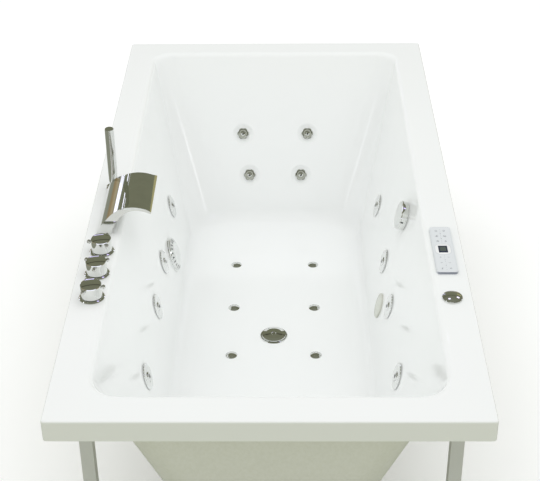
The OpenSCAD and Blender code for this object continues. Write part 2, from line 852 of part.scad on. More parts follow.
module suction_cover() {
    wall = 3;
    slots = 20;
    r = suction_cover_r;
    cap_r = r - suction_rim;
    h = suction_cover_h;
    side_h = h - 6;
    face_r = cap_r - 13;
    color(CHROME) on_side_wall(-1, suction_y, suction_drop) difference() {
        turned([
            [0, h - wall], [face_r - 1, h - wall], [cap_r - wall - 0.3, side_h - 1.6],
            [cap_r - wall, suction_flange_t + seat], [cap_r - wall, 0], [r, 0], [r, 1], [r - 1, 1.8],
            [cap_r, 2.2], [cap_r, side_h - 1], [cap_r - 1.2, side_h + 0.4], [face_r, h - 0.3],
            [face_r - 1.5, h], [0, h]
        ]);
        for (k = [0:slots - 1]) rotate(360 / slots * k) translate([face_r + 1.5, -1.7, side_h - 3])
            cube([cap_r - face_r - wall - 1.5, 3.4, h]);
    }
}

light_neck_r = light_bore_r - 0.4;
light_can_depth = 46;

module light_housing() {
    color(PVC) on_side_wall(1, light_y, light_drop) difference() {
        union() {
            cylinder(r = light_lens_r, h = jet_flange_t);
            translate([0, 0, -light_can_depth]) cylinder(r = light_neck_r, h = light_can_depth);
            translate([0, 0, -shell_wall - 8]) cylinder(r = light_neck_r + 7, h = 8 - seat);
            translate([0, 0, -light_can_depth - 10]) cylinder(r = 7, h = 11);
        }
        translate([0, 0, 4 - light_can_depth]) cylinder(r = light_neck_r - 3, h = light_can_depth);
    }
}

module light_bezel() {
    h = 4.5;
    color("#d6d6c8") on_side_wall(1, light_y, light_drop) turned([
        [light_lens_r + seat, 0], [light_bezel_r, 0], [light_bezel_r, h - 2],
        [light_bezel_r - 1, h - 0.6], [light_lens_r + seat, h]
    ]);
}

module light_lens() {
    color("#efe9d6") on_side_wall(1, light_y, light_drop) turned([
        [0, jet_flange_t], [light_lens_r, jet_flange_t], [light_lens_r, 4],
        [light_lens_r * 0.8, 5.2], [light_lens_r * 0.45, 6], [0, 6.3]
    ]);
}

// ---------------------------------------------------------------------------------------------------
// Overflow and drain: turning the overflow cap lifts the drain plug through a cable

overflow_neck_r = overflow_bore_r - 0.4;
overflow_base_r = overflow_cap_r - 3;
overflow_base_t = 2.6;
overflow_pivot_r = 5;
overflow_chamber_bottom = -66;
overflow_pipe_x = side_x(deck_height - overflow_drop) + 48;
overflow_pipe_top = deck_height - overflow_drop - 54;
waste_z = cross_z - waste_pipe_r - 6;
drain_cup_r = 30;
drain_cup_bottom = waste_z - waste_pipe_r - 4;
// Distance from the drain at which the waste pipe is in two lengths
waste_split = 330;
cable_z = rail_z - 12;

module overflow_housing() {
    color(PVC) on_side_wall(1, overflow_y, overflow_drop) difference() {
        union() {
            cylinder(r = overflow_base_r, h = overflow_base_t);
            translate([0, 0, overflow_chamber_bottom])
                cylinder(r = overflow_neck_r, h = -overflow_chamber_bottom);
            translate([0, 0, -shell_wall - 9]) cylinder(r = overflow_neck_r + 8, h = 9 - seat);
            translate([0, 0, overflow_chamber_bottom])
                cylinder(r = overflow_neck_r + 4, h = -shell_wall - 10 - overflow_chamber_bottom);
        }
        difference() {
            translate([0, 0, overflow_chamber_bottom + 5])
                cylinder(r = overflow_neck_r - 4, h = 60);
            translate([0, 0, overflow_chamber_bottom]) cylinder(r = overflow_pivot_r + 4, h = 80);
            translate([-overflow_bore_r, -2, overflow_chamber_bottom])
                cube([2 * overflow_bore_r, 4, -overflow_chamber_bottom - 8]);
        }
        translate([0, 0, -20]) cylinder(r = overflow_pivot_r + run, h = 60);
    }
    color(PVC) translate([overflow_pipe_x, overflow_y, overflow_pipe_top + seat])
        cylinder(r = waste_pipe_r + 3, h = 24);
}

module overflow_knob() {
    base = overflow_base_t + gap;
    top = base + overflow_cap_h;
    r = overflow_cap_r;
    color(CHROME) on_side_wall(1, overflow_y, overflow_drop) difference() {
        union() {
            difference() {
                turned([
                    [0, base], [r, base], [r, top - 2.5], [r - 0.8, top - 0.8], [r - 2.5, top], [0, top]
                ]);
                turned([
                    [9, base - over], [r - 3, base - over], [r - 3, top - 5], [9, top - 5]
                ]);
            }
            translate([0, 0, -16]) cylinder(r = overflow_pivot_r, h = 16 + base + over);
        }
        translate([-2, -r - over, top - 10]) cube([4, 6, 8.5]);
    }
}

module overflow_pipe() {
    corner = [overflow_pipe_x, overflow_y, waste_z];
    drain = [0, drain_y, waste_z];
    dir = unit(corner - drain);
    middle = drain + dir * waste_split;
    color(PVC) {
        pipe([[overflow_pipe_x, overflow_y, overflow_pipe_top], corner, middle], waste_pipe_r, 34);
        rod(middle - dir * seat, drain + dir * (drain_cup_r + seat), waste_pipe_r);
    }
}

cable_r = 3.5;

// Runs from the back of the overflow to the side of the drain
module waste_cable() {
    z0 = deck_height - overflow_drop;
    out = [cos(side_lean), 0, -sin(side_lean)];
    start = [side_x(z0), overflow_y, z0] + out * (seat - overflow_chamber_bottom);
    turn = start + out * 14;
    drain = [0, drain_y, cable_z];
    corner = [turn[0], overflow_y - waste_pipe_r - 22, cable_z];
    dir = unit(corner - drain);
    middle = drain + dir * (waste_split - 20);
    color(DARK) {
        pipe([start, turn, corner, middle], cable_r, 9);
        rod(middle - dir * seat, drain + dir * (drain_cup_r + seat), cable_r);
    }
}

plug_stem_r = 4;
drain_flange_t = 2.5;
drain_throat_r = drain_bore_r - 4;

module drain_flange() {
    color(CHROME) on_floor(0, drain_y) difference() {
        union() {
            turned([
                [0, 0], [drain_flange_r, 0], [drain_flange_r, 1], [drain_flange_r - 1.5, drain_flange_t],
                [0, drain_flange_t]
            ]);
            translate([0, 0, -36]) cylinder(r = drain_bore_r - 0.4, h = 37);
        }
        difference() {
            translate([0, 0, -37]) cylinder(r = drain_throat_r, h = 60);
            for (a = [0, 90]) rotate(a) translate([-30, -1.5, -37]) cube([60, 3, 27]);
            translate([0, 0, -37]) cylinder(r = plug_stem_r + 4, h = 27);
        }
        translate([0, 0, -40]) cylinder(r = plug_stem_r + run, h = 60);
    }
}

module drain_plug() {
    base = drain_flange_t + gap;
    r = drain_plug_r;
    color(CHROME) on_floor(0, drain_y) {
        turned([
            [0, base], [r - 1, base], [r, base + 1], [r - 0.5, base + 2.6], [r * 0.7, base + 4.4],
            [r * 0.2, base + 5.4], [r * 0.16, base + 4.6], [0, base + 4.6]
        ]);
        translate([0, 0, -46]) cylinder(r = plug_stem_r, h = 46 + base + over);
    }
}

module drain_body() {
    top = -shell_wall - seat;
    depth = floor_z - drain_cup_bottom;
    color(PVC) on_floor(0, drain_y) difference() {
        union() {
            translate([0, 0, top - 6]) cylinder(r = drain_cup_r + 8, h = 6);
            translate([0, 0, -depth]) cylinder(r = drain_cup_r, h = depth + top);
        }
        translate([0, 0, 4 - depth]) cylinder(r = drain_cup_r - 3.8, h = depth + 10);
    }
}

trap_dip = 26;
// Lengths of the trap's first arm, of each slope, of its low part and of its last arm
trap_first = 46;
trap_slope = 34;
trap_low = 48;
trap_last = 38;
trap_nut = 14;
spigot = 50;

module drain_trap() {
    low_z = waste_z - trap_dip;
    start = drain_y - drain_cup_r - seat;
    dip_start = start - trap_first - trap_slope;
    dip_end = dip_start - trap_low;
    rise_end = dip_end - trap_slope;
    arm_end = rise_end - trap_last;
    color(PVC) difference() {
        union() {
            pipe([
                [0, start, waste_z], [0, start - trap_first, waste_z], [0, dip_start, low_z],
                [0, dip_end, low_z], [0, rise_end, waste_z], [0, arm_end, waste_z]
            ], waste_pipe_r + 1.5, waste_pipe_r * 1.3);
            rod([0, arm_end + trap_nut, waste_z], [0, arm_end, waste_z], waste_pipe_r + 6);
            rod([0, arm_end + over, waste_z], [0, arm_end - spigot, waste_z], waste_pipe_r);
        }
        translate([0, arm_end - spigot - over, waste_z]) rotate([-90, 0, 0])
            cylinder(r = waste_pipe_r - 3, h = spigot + 10);
    }
}

// ---------------------------------------------------------------------------------------------------
// Deck taps, spout and hand shower

tap_neck_r = spindle_r + 6;
tap_bore_r = tap_neck_r + 0.6;
tap_body_r = 17;
tap_body_top = -shell_wall - 14;
tap_body_h = 46;
tap_inlet_drop = 30;

module tap_bodies() {
    color(BRASS) for (i = [0:2]) at_tap(i) difference() {
        union() {
            translate([0, 0, tap_body_top]) cylinder(r = tap_neck_r, h = tap_flange_h - 1 - tap_body_top);
            translate([0, 0, tap_body_top - tap_body_h]) cylinder(r = tap_body_r, h = tap_body_h);
            translate([0, 0, tap_body_top - tap_body_h - tap_inlet_drop])
                cylinder(r = inlet_r, h = tap_inlet_drop + over);
        }
        translate([0, 0, tap_body_top - 12]) cylinder(r = spindle_r + run, h = 60);
    }
}

module tap_flanges() {
    color(CHROME) for (i = [0:2]) at_tap(i) difference() {
        turned([
            [0, 0], [tap_flange_r, 0], [tap_flange_r, 2], [tap_flange_r - 1.5, tap_flange_h - 1.5],
            [tap_flange_r - 3, tap_flange_h - 0.4], [tap_flange_r - 4.5, tap_flange_h], [0, tap_flange_h]
        ]);
        translate([0, 0, -over]) cylinder(r = tap_neck_r + seat, h = tap_flange_h + 2 * over);
    }
}

module tap_knob(i) {
    base = tap_flange_h + gap;
    reach = knob_r + pin_ball_r - 0.6;
    edge = knob_top - knob_dome;
    color(CHROME) at_tap(i) {
        turned([
            [0, base], [knob_r - 1, base], [knob_r, base + 1], [knob_r, edge - 1.6],
            [knob_r - 0.5, edge - 0.4], [knob_r - 1.4, edge], [0, edge]
        ]);
        translate([0, 0, edge]) dome(knob_r - 1.6, knob_dome);
        translate([0, 0, tap_body_top - 8]) cylinder(r = spindle_r, h = base + over - tap_body_top + 8);
        for (k = [0:2]) rotate(pin_angles[i] + 120 * k) translate([0, 0, pin_height]) {
            translate([knob_r - 3, 0, 0]) rotate([0, 90, 0])
                cylinder(r = pin_ball_r * 0.55, h = reach - knob_r + 3);
            translate([reach, 0, 0]) sphere(r = pin_ball_r);
        }
    }
}

spout_shank_x = spout_back_x - spout_foot_t / 2;
spout_shank_r = 13;
holder_neck_r = wand_r + 3;
air_neck_r = 15;

module deck_nuts() {
    h = 8;
    color(BRASS) {
        for (i = [0:2]) at_tap(i) translate([0, 0, -shell_wall - h])
            hex_nut(tap_neck_r + 6, tap_neck_r + seat, h);
        on_deck(-spout_shank_x, spout_y) translate([0, 0, -shell_wall - h])
            hex_nut(spout_shank_r + 6, spout_shank_r + seat, h);
        on_deck(-wand_x, wand_y) translate([0, 0, -shell_wall - h])
            hex_nut(holder_neck_r + 5, holder_neck_r + seat, h);
        on_deck(panel_x, air_control_y) translate([0, 0, -shell_wall - h])
            hex_nut(air_neck_r + 5, air_neck_r + seat, h);
    }
}

// Cubic curve through four control points
function cubic(p, t) =
    pow(1 - t, 3) * p[0] + 3 * t * pow(1 - t, 2) * p[1] + 3 * t * t * (1 - t) * p[2] + pow(t, 3) * p[3];

spout_steps = 20;
// Side view of the spout as [distance from the back, height]: the outer and the inner control points
spout_outer = [[0, 0], [19, spout_lip_z - 4], [74, spout_lip_z + 31], [spout_reach, spout_lip_z]];
spout_inner = [
    [spout_foot_t, 0], [spout_foot_t + 4, spout_lip_z - 14], [74, spout_lip_z + 18],
    [spout_reach - 1, spout_lip_z - 3.5]
];

module spout() {
    half = spout_width / 2;
    foot_half = half + spout_foot_extra;
    shoulder = 37;
    step = 22;
    top = spout_lip_z + 40;
    color(CHROME) {
        on_deck(-spout_back_x, spout_y) intersection() {
            translate([0, foot_half, 0]) rotate([90, 0, 0]) linear_extrude(2 * foot_half) polygon(concat(
                [for (i = [0:spout_steps]) cubic(spout_outer, i / spout_steps)],
                [for (i = [spout_steps:-1:0]) cubic(spout_inner, i / spout_steps)]
            ));
            rotate([90, 0, 90]) linear_extrude(spout_reach + over) polygon([
                [-foot_half, 0], [foot_half, 0], [foot_half, shoulder], [half, shoulder + step],
                [half, top], [-half, top], [-half, shoulder + step], [-foot_half, shoulder]
            ]);
        }
        on_deck(-spout_shank_x, spout_y) difference() {
            translate([0, 0, -60]) cylinder(r = spout_shank_r, h = 60);
            translate([0, 0, -60 - over]) cylinder(r = spout_shank_r - 4, h = 50);
        }
    }
}

holder_flange_h = 6;
wand_depth = 42;

module wand_holder() {
    color(CHROME) on_deck(-wand_x, wand_y) difference() {
        union() {
            turned([
                [0, 0], [holder_flange_r, 0], [holder_flange_r, 2],
                [holder_flange_r - 1.5, holder_flange_h - 1], [holder_flange_r - 3, holder_flange_h],
                [0, holder_flange_h]
            ]);
            translate([0, 0, -wand_depth - 20]) cylinder(r = holder_neck_r, h = wand_depth + 21);
        }
        translate([0, 0, -wand_depth]) cylinder(r = wand_r + run, h = wand_depth + 40);
        translate([0, 0, -wand_depth - 40]) cylinder(r = wand_r - 3, h = 60);
    }
}

module shower_wand() {
    r = wand_r;
    color(CHROME) on_deck(-wand_x, wand_y) difference() {
        turned([
            [0, seat - wand_depth], [r, seat - wand_depth], [r, wand_top - 1.2], [r - 1.2, wand_top],
            [0, wand_top]
        ]);
        translate([0, r + 20 - 1.2, wand_top - 52]) rotate([0, 90, 0])
            translate([0, 0, -5]) cube([90, 40, 10], center = true);
        translate([0, 0, -wand_depth - over]) cylinder(r = wand_r - 4, h = 20);
    }
}

// ---------------------------------------------------------------------------------------------------
// Control panel and air control

panel_box_w = panel_width - 14;
panel_box_l = panel_length - 40;
panel_box_h = 28;
overlay_t = 0.8;
overlay_inset = 2;

module rounded_plate(w, l, h, r) {
    linear_extrude(h) hull() for (x = [-1, 1], y = [-1, 1])
        translate([x * (w / 2 - r), y * (l / 2 - r)]) circle(r = r);
}

module panel_housing() {
    color("#dfe3e3") on_deck(panel_x, panel_y) {
        difference() {
            rounded_plate(panel_width, panel_length, panel_h, panel_corner_r);
            translate([0, 0, panel_h - overlay_t]) rounded_plate(
                panel_width - 2 * overlay_inset + 2 * seat, panel_length - 2 * overlay_inset + 2 * seat,
                2, panel_corner_r - overlay_inset + seat);
        }
        translate([-panel_box_w / 2, -panel_box_l / 2, -panel_box_h])
            cube([panel_box_w, panel_box_l, panel_box_h + over]);
    }
}

module panel_overlay() {
    color("#e9ecec") on_deck(panel_x, panel_y) translate([0, 0, panel_h - overlay_t]) rounded_plate(
        panel_width - 2 * overlay_inset, panel_length - 2 * overlay_inset, overlay_t,
        panel_corner_r - overlay_inset);
}

air_collar_h = 3;

module air_control_body() {
    color(PVC) on_deck(panel_x, air_control_y) difference() {
        union() {
            cylinder(r = air_knob_r, h = air_collar_h);
            translate([0, 0, -50]) cylinder(r = air_neck_r, h = 51);
            translate([0, 0, -70]) cylinder(r = air_pipe_r + 2, h = 21);
        }
        translate([0, 0, -40]) cylinder(r = spindle_r + run, h = 60);
    }
}

module air_control_knob() {
    base = air_collar_h + gap;
    edge = base + air_knob_h - air_knob_dome;
    r = air_knob_r;
    color(CHROME) on_deck(panel_x, air_control_y) {
        turned([[0, base], [r - 0.8, base], [r, base + 0.8], [r - 0.6, edge], [0, edge]]);
        translate([0, 0, edge]) dome(r - 0.8, air_knob_dome);
        translate([0, 0, -36]) cylinder(r = spindle_r, h = 36 + base + over);
    }
}

// ---------------------------------------------------------------------------------------------------
// Pump, blower, control box and pipes

// Pump, control box and blower stand in a row across the tub, from the suction pipe on
pump_x0 = 93 + suction_pipe_depth * cos(side_lean) - side_x(deck_height - suction_drop);
volute_w = 62;
shaft_r = 7;
pump_foot_h = 12;
pump_z = tray_z + tray_t + pump_foot_h + volute_r;
casing = 5;

module along_x(x, y, z) {
    translate([x, y, z]) rotate([0, 90, 0]) children();
}

volute_foot = [volute_w - 12, 100, 30];

module pump_volute() {
    port_y = pump_y + volute_r - water_pipe_r - 6;
    color("#4a4e52") difference() {
        union() {
            along_x(pump_x0, pump_y, pump_z) cylinder(r = volute_r, h = volute_w);
            along_x(pump_x0 - 34, pump_y, pump_z) cylinder(r = suction_pipe_r + 8, h = 35);
            translate([pump_x0 + volute_w / 2, port_y, pump_z])
                cylinder(r = water_pipe_r + 6, h = volute_r + 8);
            translate([pump_x0 + 6, pump_y - volute_foot[1] / 2, tray_z + tray_t]) cube(volute_foot);
        }
        along_x(pump_x0 + casing, pump_y, pump_z) cylinder(r = volute_r - casing, h = volute_w);
        along_x(pump_x0 - 40, pump_y, pump_z) cylinder(r = suction_pipe_r - 2, h = 50);
        translate([pump_x0 + volute_w / 2, port_y, pump_z]) cylinder(r = water_pipe_r, h = volute_r + 20);
    }
}

motor_x0 = pump_x0 + volute_w + seat;
terminal_box = [80, 60];
motor_foot = [90, 110];

module pump_motor() {
    fins = 20;
    color("#8a9096") difference() {
        union() {
            along_x(motor_x0, pump_y, pump_z) cylinder(r = volute_r, h = 8);
            along_x(motor_x0, pump_y, pump_z) cylinder(r = motor_r - 6, h = motor_length);
            for (k = [0:fins - 1]) along_x(motor_x0 + 10, pump_y, pump_z) rotate(360 / fins * k)
                translate([0, -1.2, 0]) cube([motor_r, 2.4, motor_length - 60]);
            along_x(motor_x0 + motor_length - 46, pump_y, pump_z) cylinder(r = motor_r, h = 46);
            translate([motor_x0 + 50, pump_y - terminal_box[1] / 2, pump_z])
                cube([terminal_box[0], terminal_box[1], motor_r + 14]);
            translate([motor_x0 + 40, pump_y - motor_foot[1] / 2, tray_z + tray_t])
                cube([motor_foot[0], motor_foot[1], pump_z - motor_r * 0.8 - tray_z - tray_t]);
        }
        along_x(motor_x0 + 8, pump_y, pump_z) cylinder(r = motor_r - 12, h = motor_length - 8 - 4);
        along_x(motor_x0 - over, pump_y, pump_z) cylinder(r = shaft_r + run, h = 12);
        for (k = [0:11]) along_x(motor_x0 + motor_length - 20, pump_y, pump_z) rotate(30 * k)
            translate([motor_r * 0.3, -2, 0]) cube([motor_r * 0.4, 4, 40]);
    }
}

module pump_rotor() {
    vanes = 6;
    impeller_r = volute_r - casing - 8;
    fan_r = motor_r - 18;
    color("#7d8287") {
        along_x(pump_x0 + 16, pump_y, pump_z) cylinder(r = shaft_r, h = volute_w + motor_length - 34);
        along_x(pump_x0 + 34, pump_y, pump_z) cylinder(r = impeller_r, h = 4);
        for (k = [0:vanes - 1]) along_x(pump_x0 + 20, pump_y, pump_z) rotate(360 / vanes * k)
            translate([shaft_r - 1, -1.5, 0]) cube([impeller_r - shaft_r - 2, 3, 15]);
        along_x(motor_x0 + 24, pump_y, pump_z) cylinder(r = motor_r - 22, h = motor_length - 90);
        along_x(motor_x0 + motor_length - 44, pump_y, pump_z) cylinder(r = fan_r * 0.5, h = 4);
        for (k = [0:7]) along_x(motor_x0 + motor_length - 41, pump_y, pump_z) rotate(45 * k)
            translate([shaft_r - 1, -1, 0]) cube([fan_r - shaft_r, 2, 14]);
    }
}

box_size = [104, 80, 150];
box_x = motor_x0 + motor_length + 15;
blower_x = box_x + box_size[0] + 14 + blower_r;
blower_y = pump_y - 10;
blower_wall = 6;
fan_h = 52;
blower_shaft_r = 5;
// Heights in the blower of its collar's top and of its motor's top
collar_top = fan_h + 10;
blower_motor_top = blower_h - 20;

module blower() {
    fan_r = blower_r * 0.86;
    motor_case_r = blower_r * 0.72;
    color("#5a5f66") translate([blower_x, blower_y, tray_z + tray_t]) difference() {
        union() {
            cylinder(r = fan_r, h = fan_h + over);
            translate([0, 0, fan_h]) cylinder(r = blower_r, h = collar_top - fan_h);
            translate([0, 0, fan_h]) cylinder(r = motor_case_r, h = blower_motor_top - fan_h);
            translate([0, 0, fan_h]) cylinder(r = motor_case_r - 9, h = blower_h - fan_h);
            translate([-10, 0, fan_h / 2]) rotate([90, 0, 0]) cylinder(r = water_pipe_r, h = blower_r);
        }
        translate([0, 0, blower_wall]) cylinder(r = fan_r - blower_wall, h = fan_h - 2 * blower_wall);
        translate([0, 0, collar_top + 8])
            cylinder(r = motor_case_r - blower_wall, h = blower_motor_top - collar_top - 8 - blower_wall);
        translate([0, 0, blower_wall + 2]) cylinder(r = blower_shaft_r + run, h = collar_top + 4);
        for (k = [0:15]) rotate(22.5 * k) translate([motor_case_r - 20, -1.5, blower_motor_top + 4])
            cube([30, 3, 11]);
    }
}

module blower_rotor() {
    blade_r = blower_r * 0.86 - blower_wall - 6;
    blade_z = blower_wall + 8;
    core_r = blower_r * 0.72 - blower_wall - 14;
    core_z = collar_top + 14;
    color("#7d8287") translate([blower_x, blower_y, tray_z + tray_t]) {
        translate([0, 0, blower_wall + 4])
            cylinder(r = blower_shaft_r, h = blower_motor_top - 2 * blower_wall - 10);
        translate([0, 0, blade_z - 3]) cylinder(r = blade_r, h = 3);
        for (k = [0:9]) rotate(36 * k) translate([blower_shaft_r - 1, -1, blade_z - over])
            cube([blade_r - blower_shaft_r - 1, 2, fan_h - 2 * blower_wall - 12]);
        translate([0, 0, core_z]) cylinder(r = core_r, h = blower_motor_top - blower_wall - core_z - 6);
    }
}

module control_box() {
    w = box_size[0];
    d = box_size[1];
    h = box_size[2];
    color("#d5d8da") translate([box_x, rail_end - d - 10, tray_z + tray_t]) {
        cube(box_size);
        translate([8, -3, 10]) cube([w - 16, 4, h - 20]);
        for (i = [1:4]) translate([w / 5 * i, d * 0.6, h - over]) cylinder(r = 9, h = 12);
    }
}

// Centre line of the pipes behind the side jets at [x, z], from a jet's own [across, out] place
function behind_jet(across, out) =
    let (z = deck_height - side_jet_drop)
        [
            side_x(z) - out * cos(side_lean) + across * sin(side_lean),
            z + out * sin(side_lean) + across * cos(side_lean)
        ];

water_line = behind_jet(0, side_pipe_z);
air_line = behind_jet(side_air_x, side_air_z);
cross_pipe_y = pump_y + volute_r - water_pipe_r - 6;
cross_pipe_z = pump_z + volute_r + 8 + water_pipe_r + seat;

module along_jets(line, r) {
    for (side = [-1, 1], i = [0:2])
        rod([side * line[0], side_jet_y[i] + side_stub + seat, line[1]],
            [side * line[0], side_jet_y[i + 1] - side_stub - seat, line[1]], r);
}

// Hose from a back jet's tail to the cross pipe
module back_hose(i) {
    x = (i % 2 == 0 ? -1 : 1) * (i < 2 ? back_upper_x : back_lower_x);
    z = deck_height - (i < 2 ? back_upper_drop : back_lower_drop);
    out = [0, cos(head_lean), -sin(head_lean)];
    tail = [x, head_y(z), z] + out * (dimple_depth - back_tail + back_hose_stub + seat);
    turn = tail + out * back_hose_turn;
    across = [x, turn[1] + 8, cross_pipe_z];
    to = [x, cross_pipe_y - water_pipe_r - seat, cross_pipe_z];
    if (i < 2) rod(tail, to + [0, -water_pipe_r, water_pipe_r], back_hose_r);
    else pipe([tail, turn, across, to], back_hose_r, 9);
}

module water_pipes() {
    x = water_line[0];
    z = water_line[1];
    from = side_jet_y[3] + side_stub + seat;
    turn = floor_head + 60;
    cross_x = x - 40;
    color(PVC) {
        along_jets(water_line, water_pipe_r);
        for (side = [-1, 1]) {
            rod([side * x, from, z], [side * x, turn, z], water_pipe_r);
            pipe([
                [side * x, turn + seat, z], [side * x, cross_pipe_y, z],
                [side * cross_x, cross_pipe_y, cross_pipe_z]
            ], water_pipe_r, water_pipe_r * 1.5);
            knee([side * cross_x, cross_pipe_y, cross_pipe_z], water_pipe_r);
        }
        rod([-cross_x, cross_pipe_y, cross_pipe_z], [cross_x, cross_pipe_y, cross_pipe_z], water_pipe_r);
        for (i = [2, 3]) back_hose(i);
    }
}

back_hose_r = 8;
back_hose_stub = 14;
back_hose_turn = 18;

module air_pipes() {
    z = floor_z + injector_pipe_z;
    start = injector_mid_y + injector_pitch + 18 + seat;
    line_end = floor_head + 20;
    turn = floor_head + 45;
    rise = tray_z + tray_t + fan_h / 2;
    air_top = [panel_x, air_control_y, deck_height - 70 - seat];
    air_low = [air_line[0], side_jet_y[0] - side_stub - seat, air_line[1]];
    color("#eceeee") {
        along_jets(air_line, air_pipe_r);
        for (x = [-injector_x, injector_x]) {
            for (i = [-1, 0])
                rod([x, injector_mid_y + i * injector_pitch + 18 + seat, z],
                    [x, injector_mid_y + (i + 1) * injector_pitch - 18 - seat, z], air_pipe_r);
            rod([x, start, z], [x, line_end, z], air_pipe_r);
        }
        pipe([
            [-injector_x, line_end + seat, z], [-injector_x, turn, z],
            [injector_x - air_pipe_r - seat, turn, z]
        ], air_pipe_r, 14);
        pipe([
            [injector_x, line_end + seat, z], [injector_x, turn, z], [injector_x, turn, rise],
            [blower_x - 10, turn, rise], [blower_x - 10, blower_y - blower_r - seat, rise]
        ], air_pipe_r, 14);
        pipe([air_low, air_low - [0, 50, 0], air_top - [0, 0, 60], air_top], air_pipe_r, 16);
    }
}

module suction_pipe() {
    z0 = deck_height - suction_drop;
    body = [
        suction_pipe_depth * cos(side_lean) - side_x(z0), suction_y, z0 + suction_pipe_depth * sin(side_lean)
    ];
    dir = [
        sin(suction_dip) * sin(side_lean), cos(suction_dip), -sin(suction_dip) * cos(side_lean)
    ];
    low = body + dir * ((body[2] - pump_z) / -dir[2]);
    split = floor_head + 40;
    color(PVC) {
        rod(body + dir * (suction_stub + seat), low, suction_pipe_r);
        knee(low, suction_pipe_r);
        rod(low, [low[0], split, low[2]], suction_pipe_r);
        pipe([
            [low[0], split + seat, low[2]], [low[0], pump_y, pump_z], [pump_x0 - 34 - seat, pump_y, pump_z]
        ], suction_pipe_r, suction_pipe_r * 1.3);
    }
}

// ---------------------------------------------------------------------------------------------------

tub_shell();
floor_board();
support_frame();
levelling_feet();
foot_lock_nuts();
equipment_tray();
side_jet_housings();
side_jet_rings();
back_jet_housings();
back_jet_rosettes();
jet_nuts();
air_injector_caps();
air_injector_bodies();
suction_housing();
suction_cover();
light_housing();
light_lens();
light_bezel();
overflow_housing();
overflow_pipe();
waste_cable();
drain_flange();
drain_body();
drain_trap();
tap_bodies();
tap_flanges();
deck_nuts();
spout();
wand_holder();
panel_housing();
panel_overlay();
air_control_body();
pump_volute();
pump_motor();
blower();
control_box();
water_pipes();
air_pipes();
suction_pipe();
overflow_knob();
drain_plug();
air_control_knob();
shower_wand();
pump_rotor();
blower_rotor();
for (i = [0:2]) tap_knob(i);
for (i = [0:7]) side_jet_nozzle(i);
for (i = [0:3]) back_jet_nozzle(i);
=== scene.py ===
"""Looks of the jetted bathtub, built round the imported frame.

Lengths are in metres, in the frame's own axes.
"""

import json
import math

import bmesh
import bpy
from mathutils import Matrix, Vector


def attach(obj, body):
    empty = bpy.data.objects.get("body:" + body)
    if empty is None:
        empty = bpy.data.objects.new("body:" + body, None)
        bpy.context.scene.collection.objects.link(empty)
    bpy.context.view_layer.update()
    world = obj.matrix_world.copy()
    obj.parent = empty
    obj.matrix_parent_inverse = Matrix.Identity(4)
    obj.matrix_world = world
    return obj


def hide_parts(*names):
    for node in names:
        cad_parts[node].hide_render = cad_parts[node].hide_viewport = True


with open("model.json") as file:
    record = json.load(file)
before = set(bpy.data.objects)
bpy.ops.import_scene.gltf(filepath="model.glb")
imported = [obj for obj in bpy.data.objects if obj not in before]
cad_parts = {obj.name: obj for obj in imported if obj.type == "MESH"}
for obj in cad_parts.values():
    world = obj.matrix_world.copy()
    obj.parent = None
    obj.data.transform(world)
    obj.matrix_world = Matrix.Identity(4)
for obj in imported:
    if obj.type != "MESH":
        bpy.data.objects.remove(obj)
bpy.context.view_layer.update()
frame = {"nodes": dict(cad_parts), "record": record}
NODES = frame["nodes"]
SCENE = bpy.context.scene
MM = 0.001

# Sizes of the shell, the same as the frame's
RIM_HALF = (0.450, 0.900)
RIM_CORNER = 0.008
RIM_EDGE = 0.004
DECK_Z = 0.600
LIP_DROP = 0.050
WALL = 0.006
OPENING_HALF = 0.368
OPENING_FOOT = -0.817
OPENING_HEAD = 0.820
FLOOR_HALF = 0.250
FLOOR_FOOT = -0.705
FLOOR_HEAD = 0.540
FLOOR_Z = 0.180
FOOT_CORNER = 0.065
HEAD_CORNER = 0.050
FLOOR_CORNER = 0.130
EDGE_ROUND = 0.014
FLOOR_ROUND = 0.038
ROUND_GAIN = 0.7
BASIN_DEPTH = DECK_Z - FLOOR_Z
SIDE_LEAN = math.atan((OPENING_HALF - FLOOR_HALF) / BASIN_DEPTH)
FOOT_LEAN = math.atan((FLOOR_FOOT - OPENING_FOOT) / BASIN_DEPTH)
HEAD_LEAN = math.atan((OPENING_HEAD - FLOOR_HEAD) / BASIN_DEPTH)


# ---------------------------------------------------------------------------
# Camera, light and floor


# The photograph's camera, fitted to the rim's corners and lip: its place, and its turns in radians
CAMERA_PLACE = (0.0359, -2.8035, 2.2493)
CAMERA_PITCH = 0.572435
CAMERA_YAW = -0.0158932
CAMERA_ROLL = 0.0105207
LENS_MM = 85.0
SENSOR_MM = 36.0


def photo_camera():
    """Camera at the photograph's viewing angle."""
    forward = Vector((
        math.sin(CAMERA_YAW) * math.cos(CAMERA_PITCH),
        math.cos(CAMERA_YAW) * math.cos(CAMERA_PITCH),
        -math.sin(CAMERA_PITCH),
    ))
    right = Vector((math.cos(CAMERA_YAW), -math.sin(CAMERA_YAW), 0))
    down = forward.cross(right)
    across = right * math.cos(CAMERA_ROLL) + down * math.sin(CAMERA_ROLL)
    up = right * math.sin(CAMERA_ROLL) - down * math.cos(CAMERA_ROLL)
    data = bpy.data.cameras.new("camera")
    data.lens = LENS_MM
    data.sensor_width = SENSOR_MM
    camera = bpy.data.objects.new("camera", data)
    camera.matrix_world = Matrix(
        [(across[i], up[i], -forward[i], CAMERA_PLACE[i]) for i in range(3)] + [(0, 0, 0, 1)]
    )
    SCENE.collection.objects.link(camera)
    SCENE.camera = camera


def ramp(tree, stops, source):
    """Colour ramp with (place, colour) stops, fed by a socket."""
    node = tree.nodes.new("ShaderNodeValToRGB")
    elements = node.color_ramp.elements
    while len(elements) > 1:
        elements.remove(elements[-1])
    elements[0].position = stops[0][0]
    elements[0].color = (*stops[0][1], 1)
    for place, colour in stops[1:]:
        elements.new(place).color = (*colour, 1)
    tree.links.new(source, node.inputs["Fac"])
    return node.outputs["Color"]


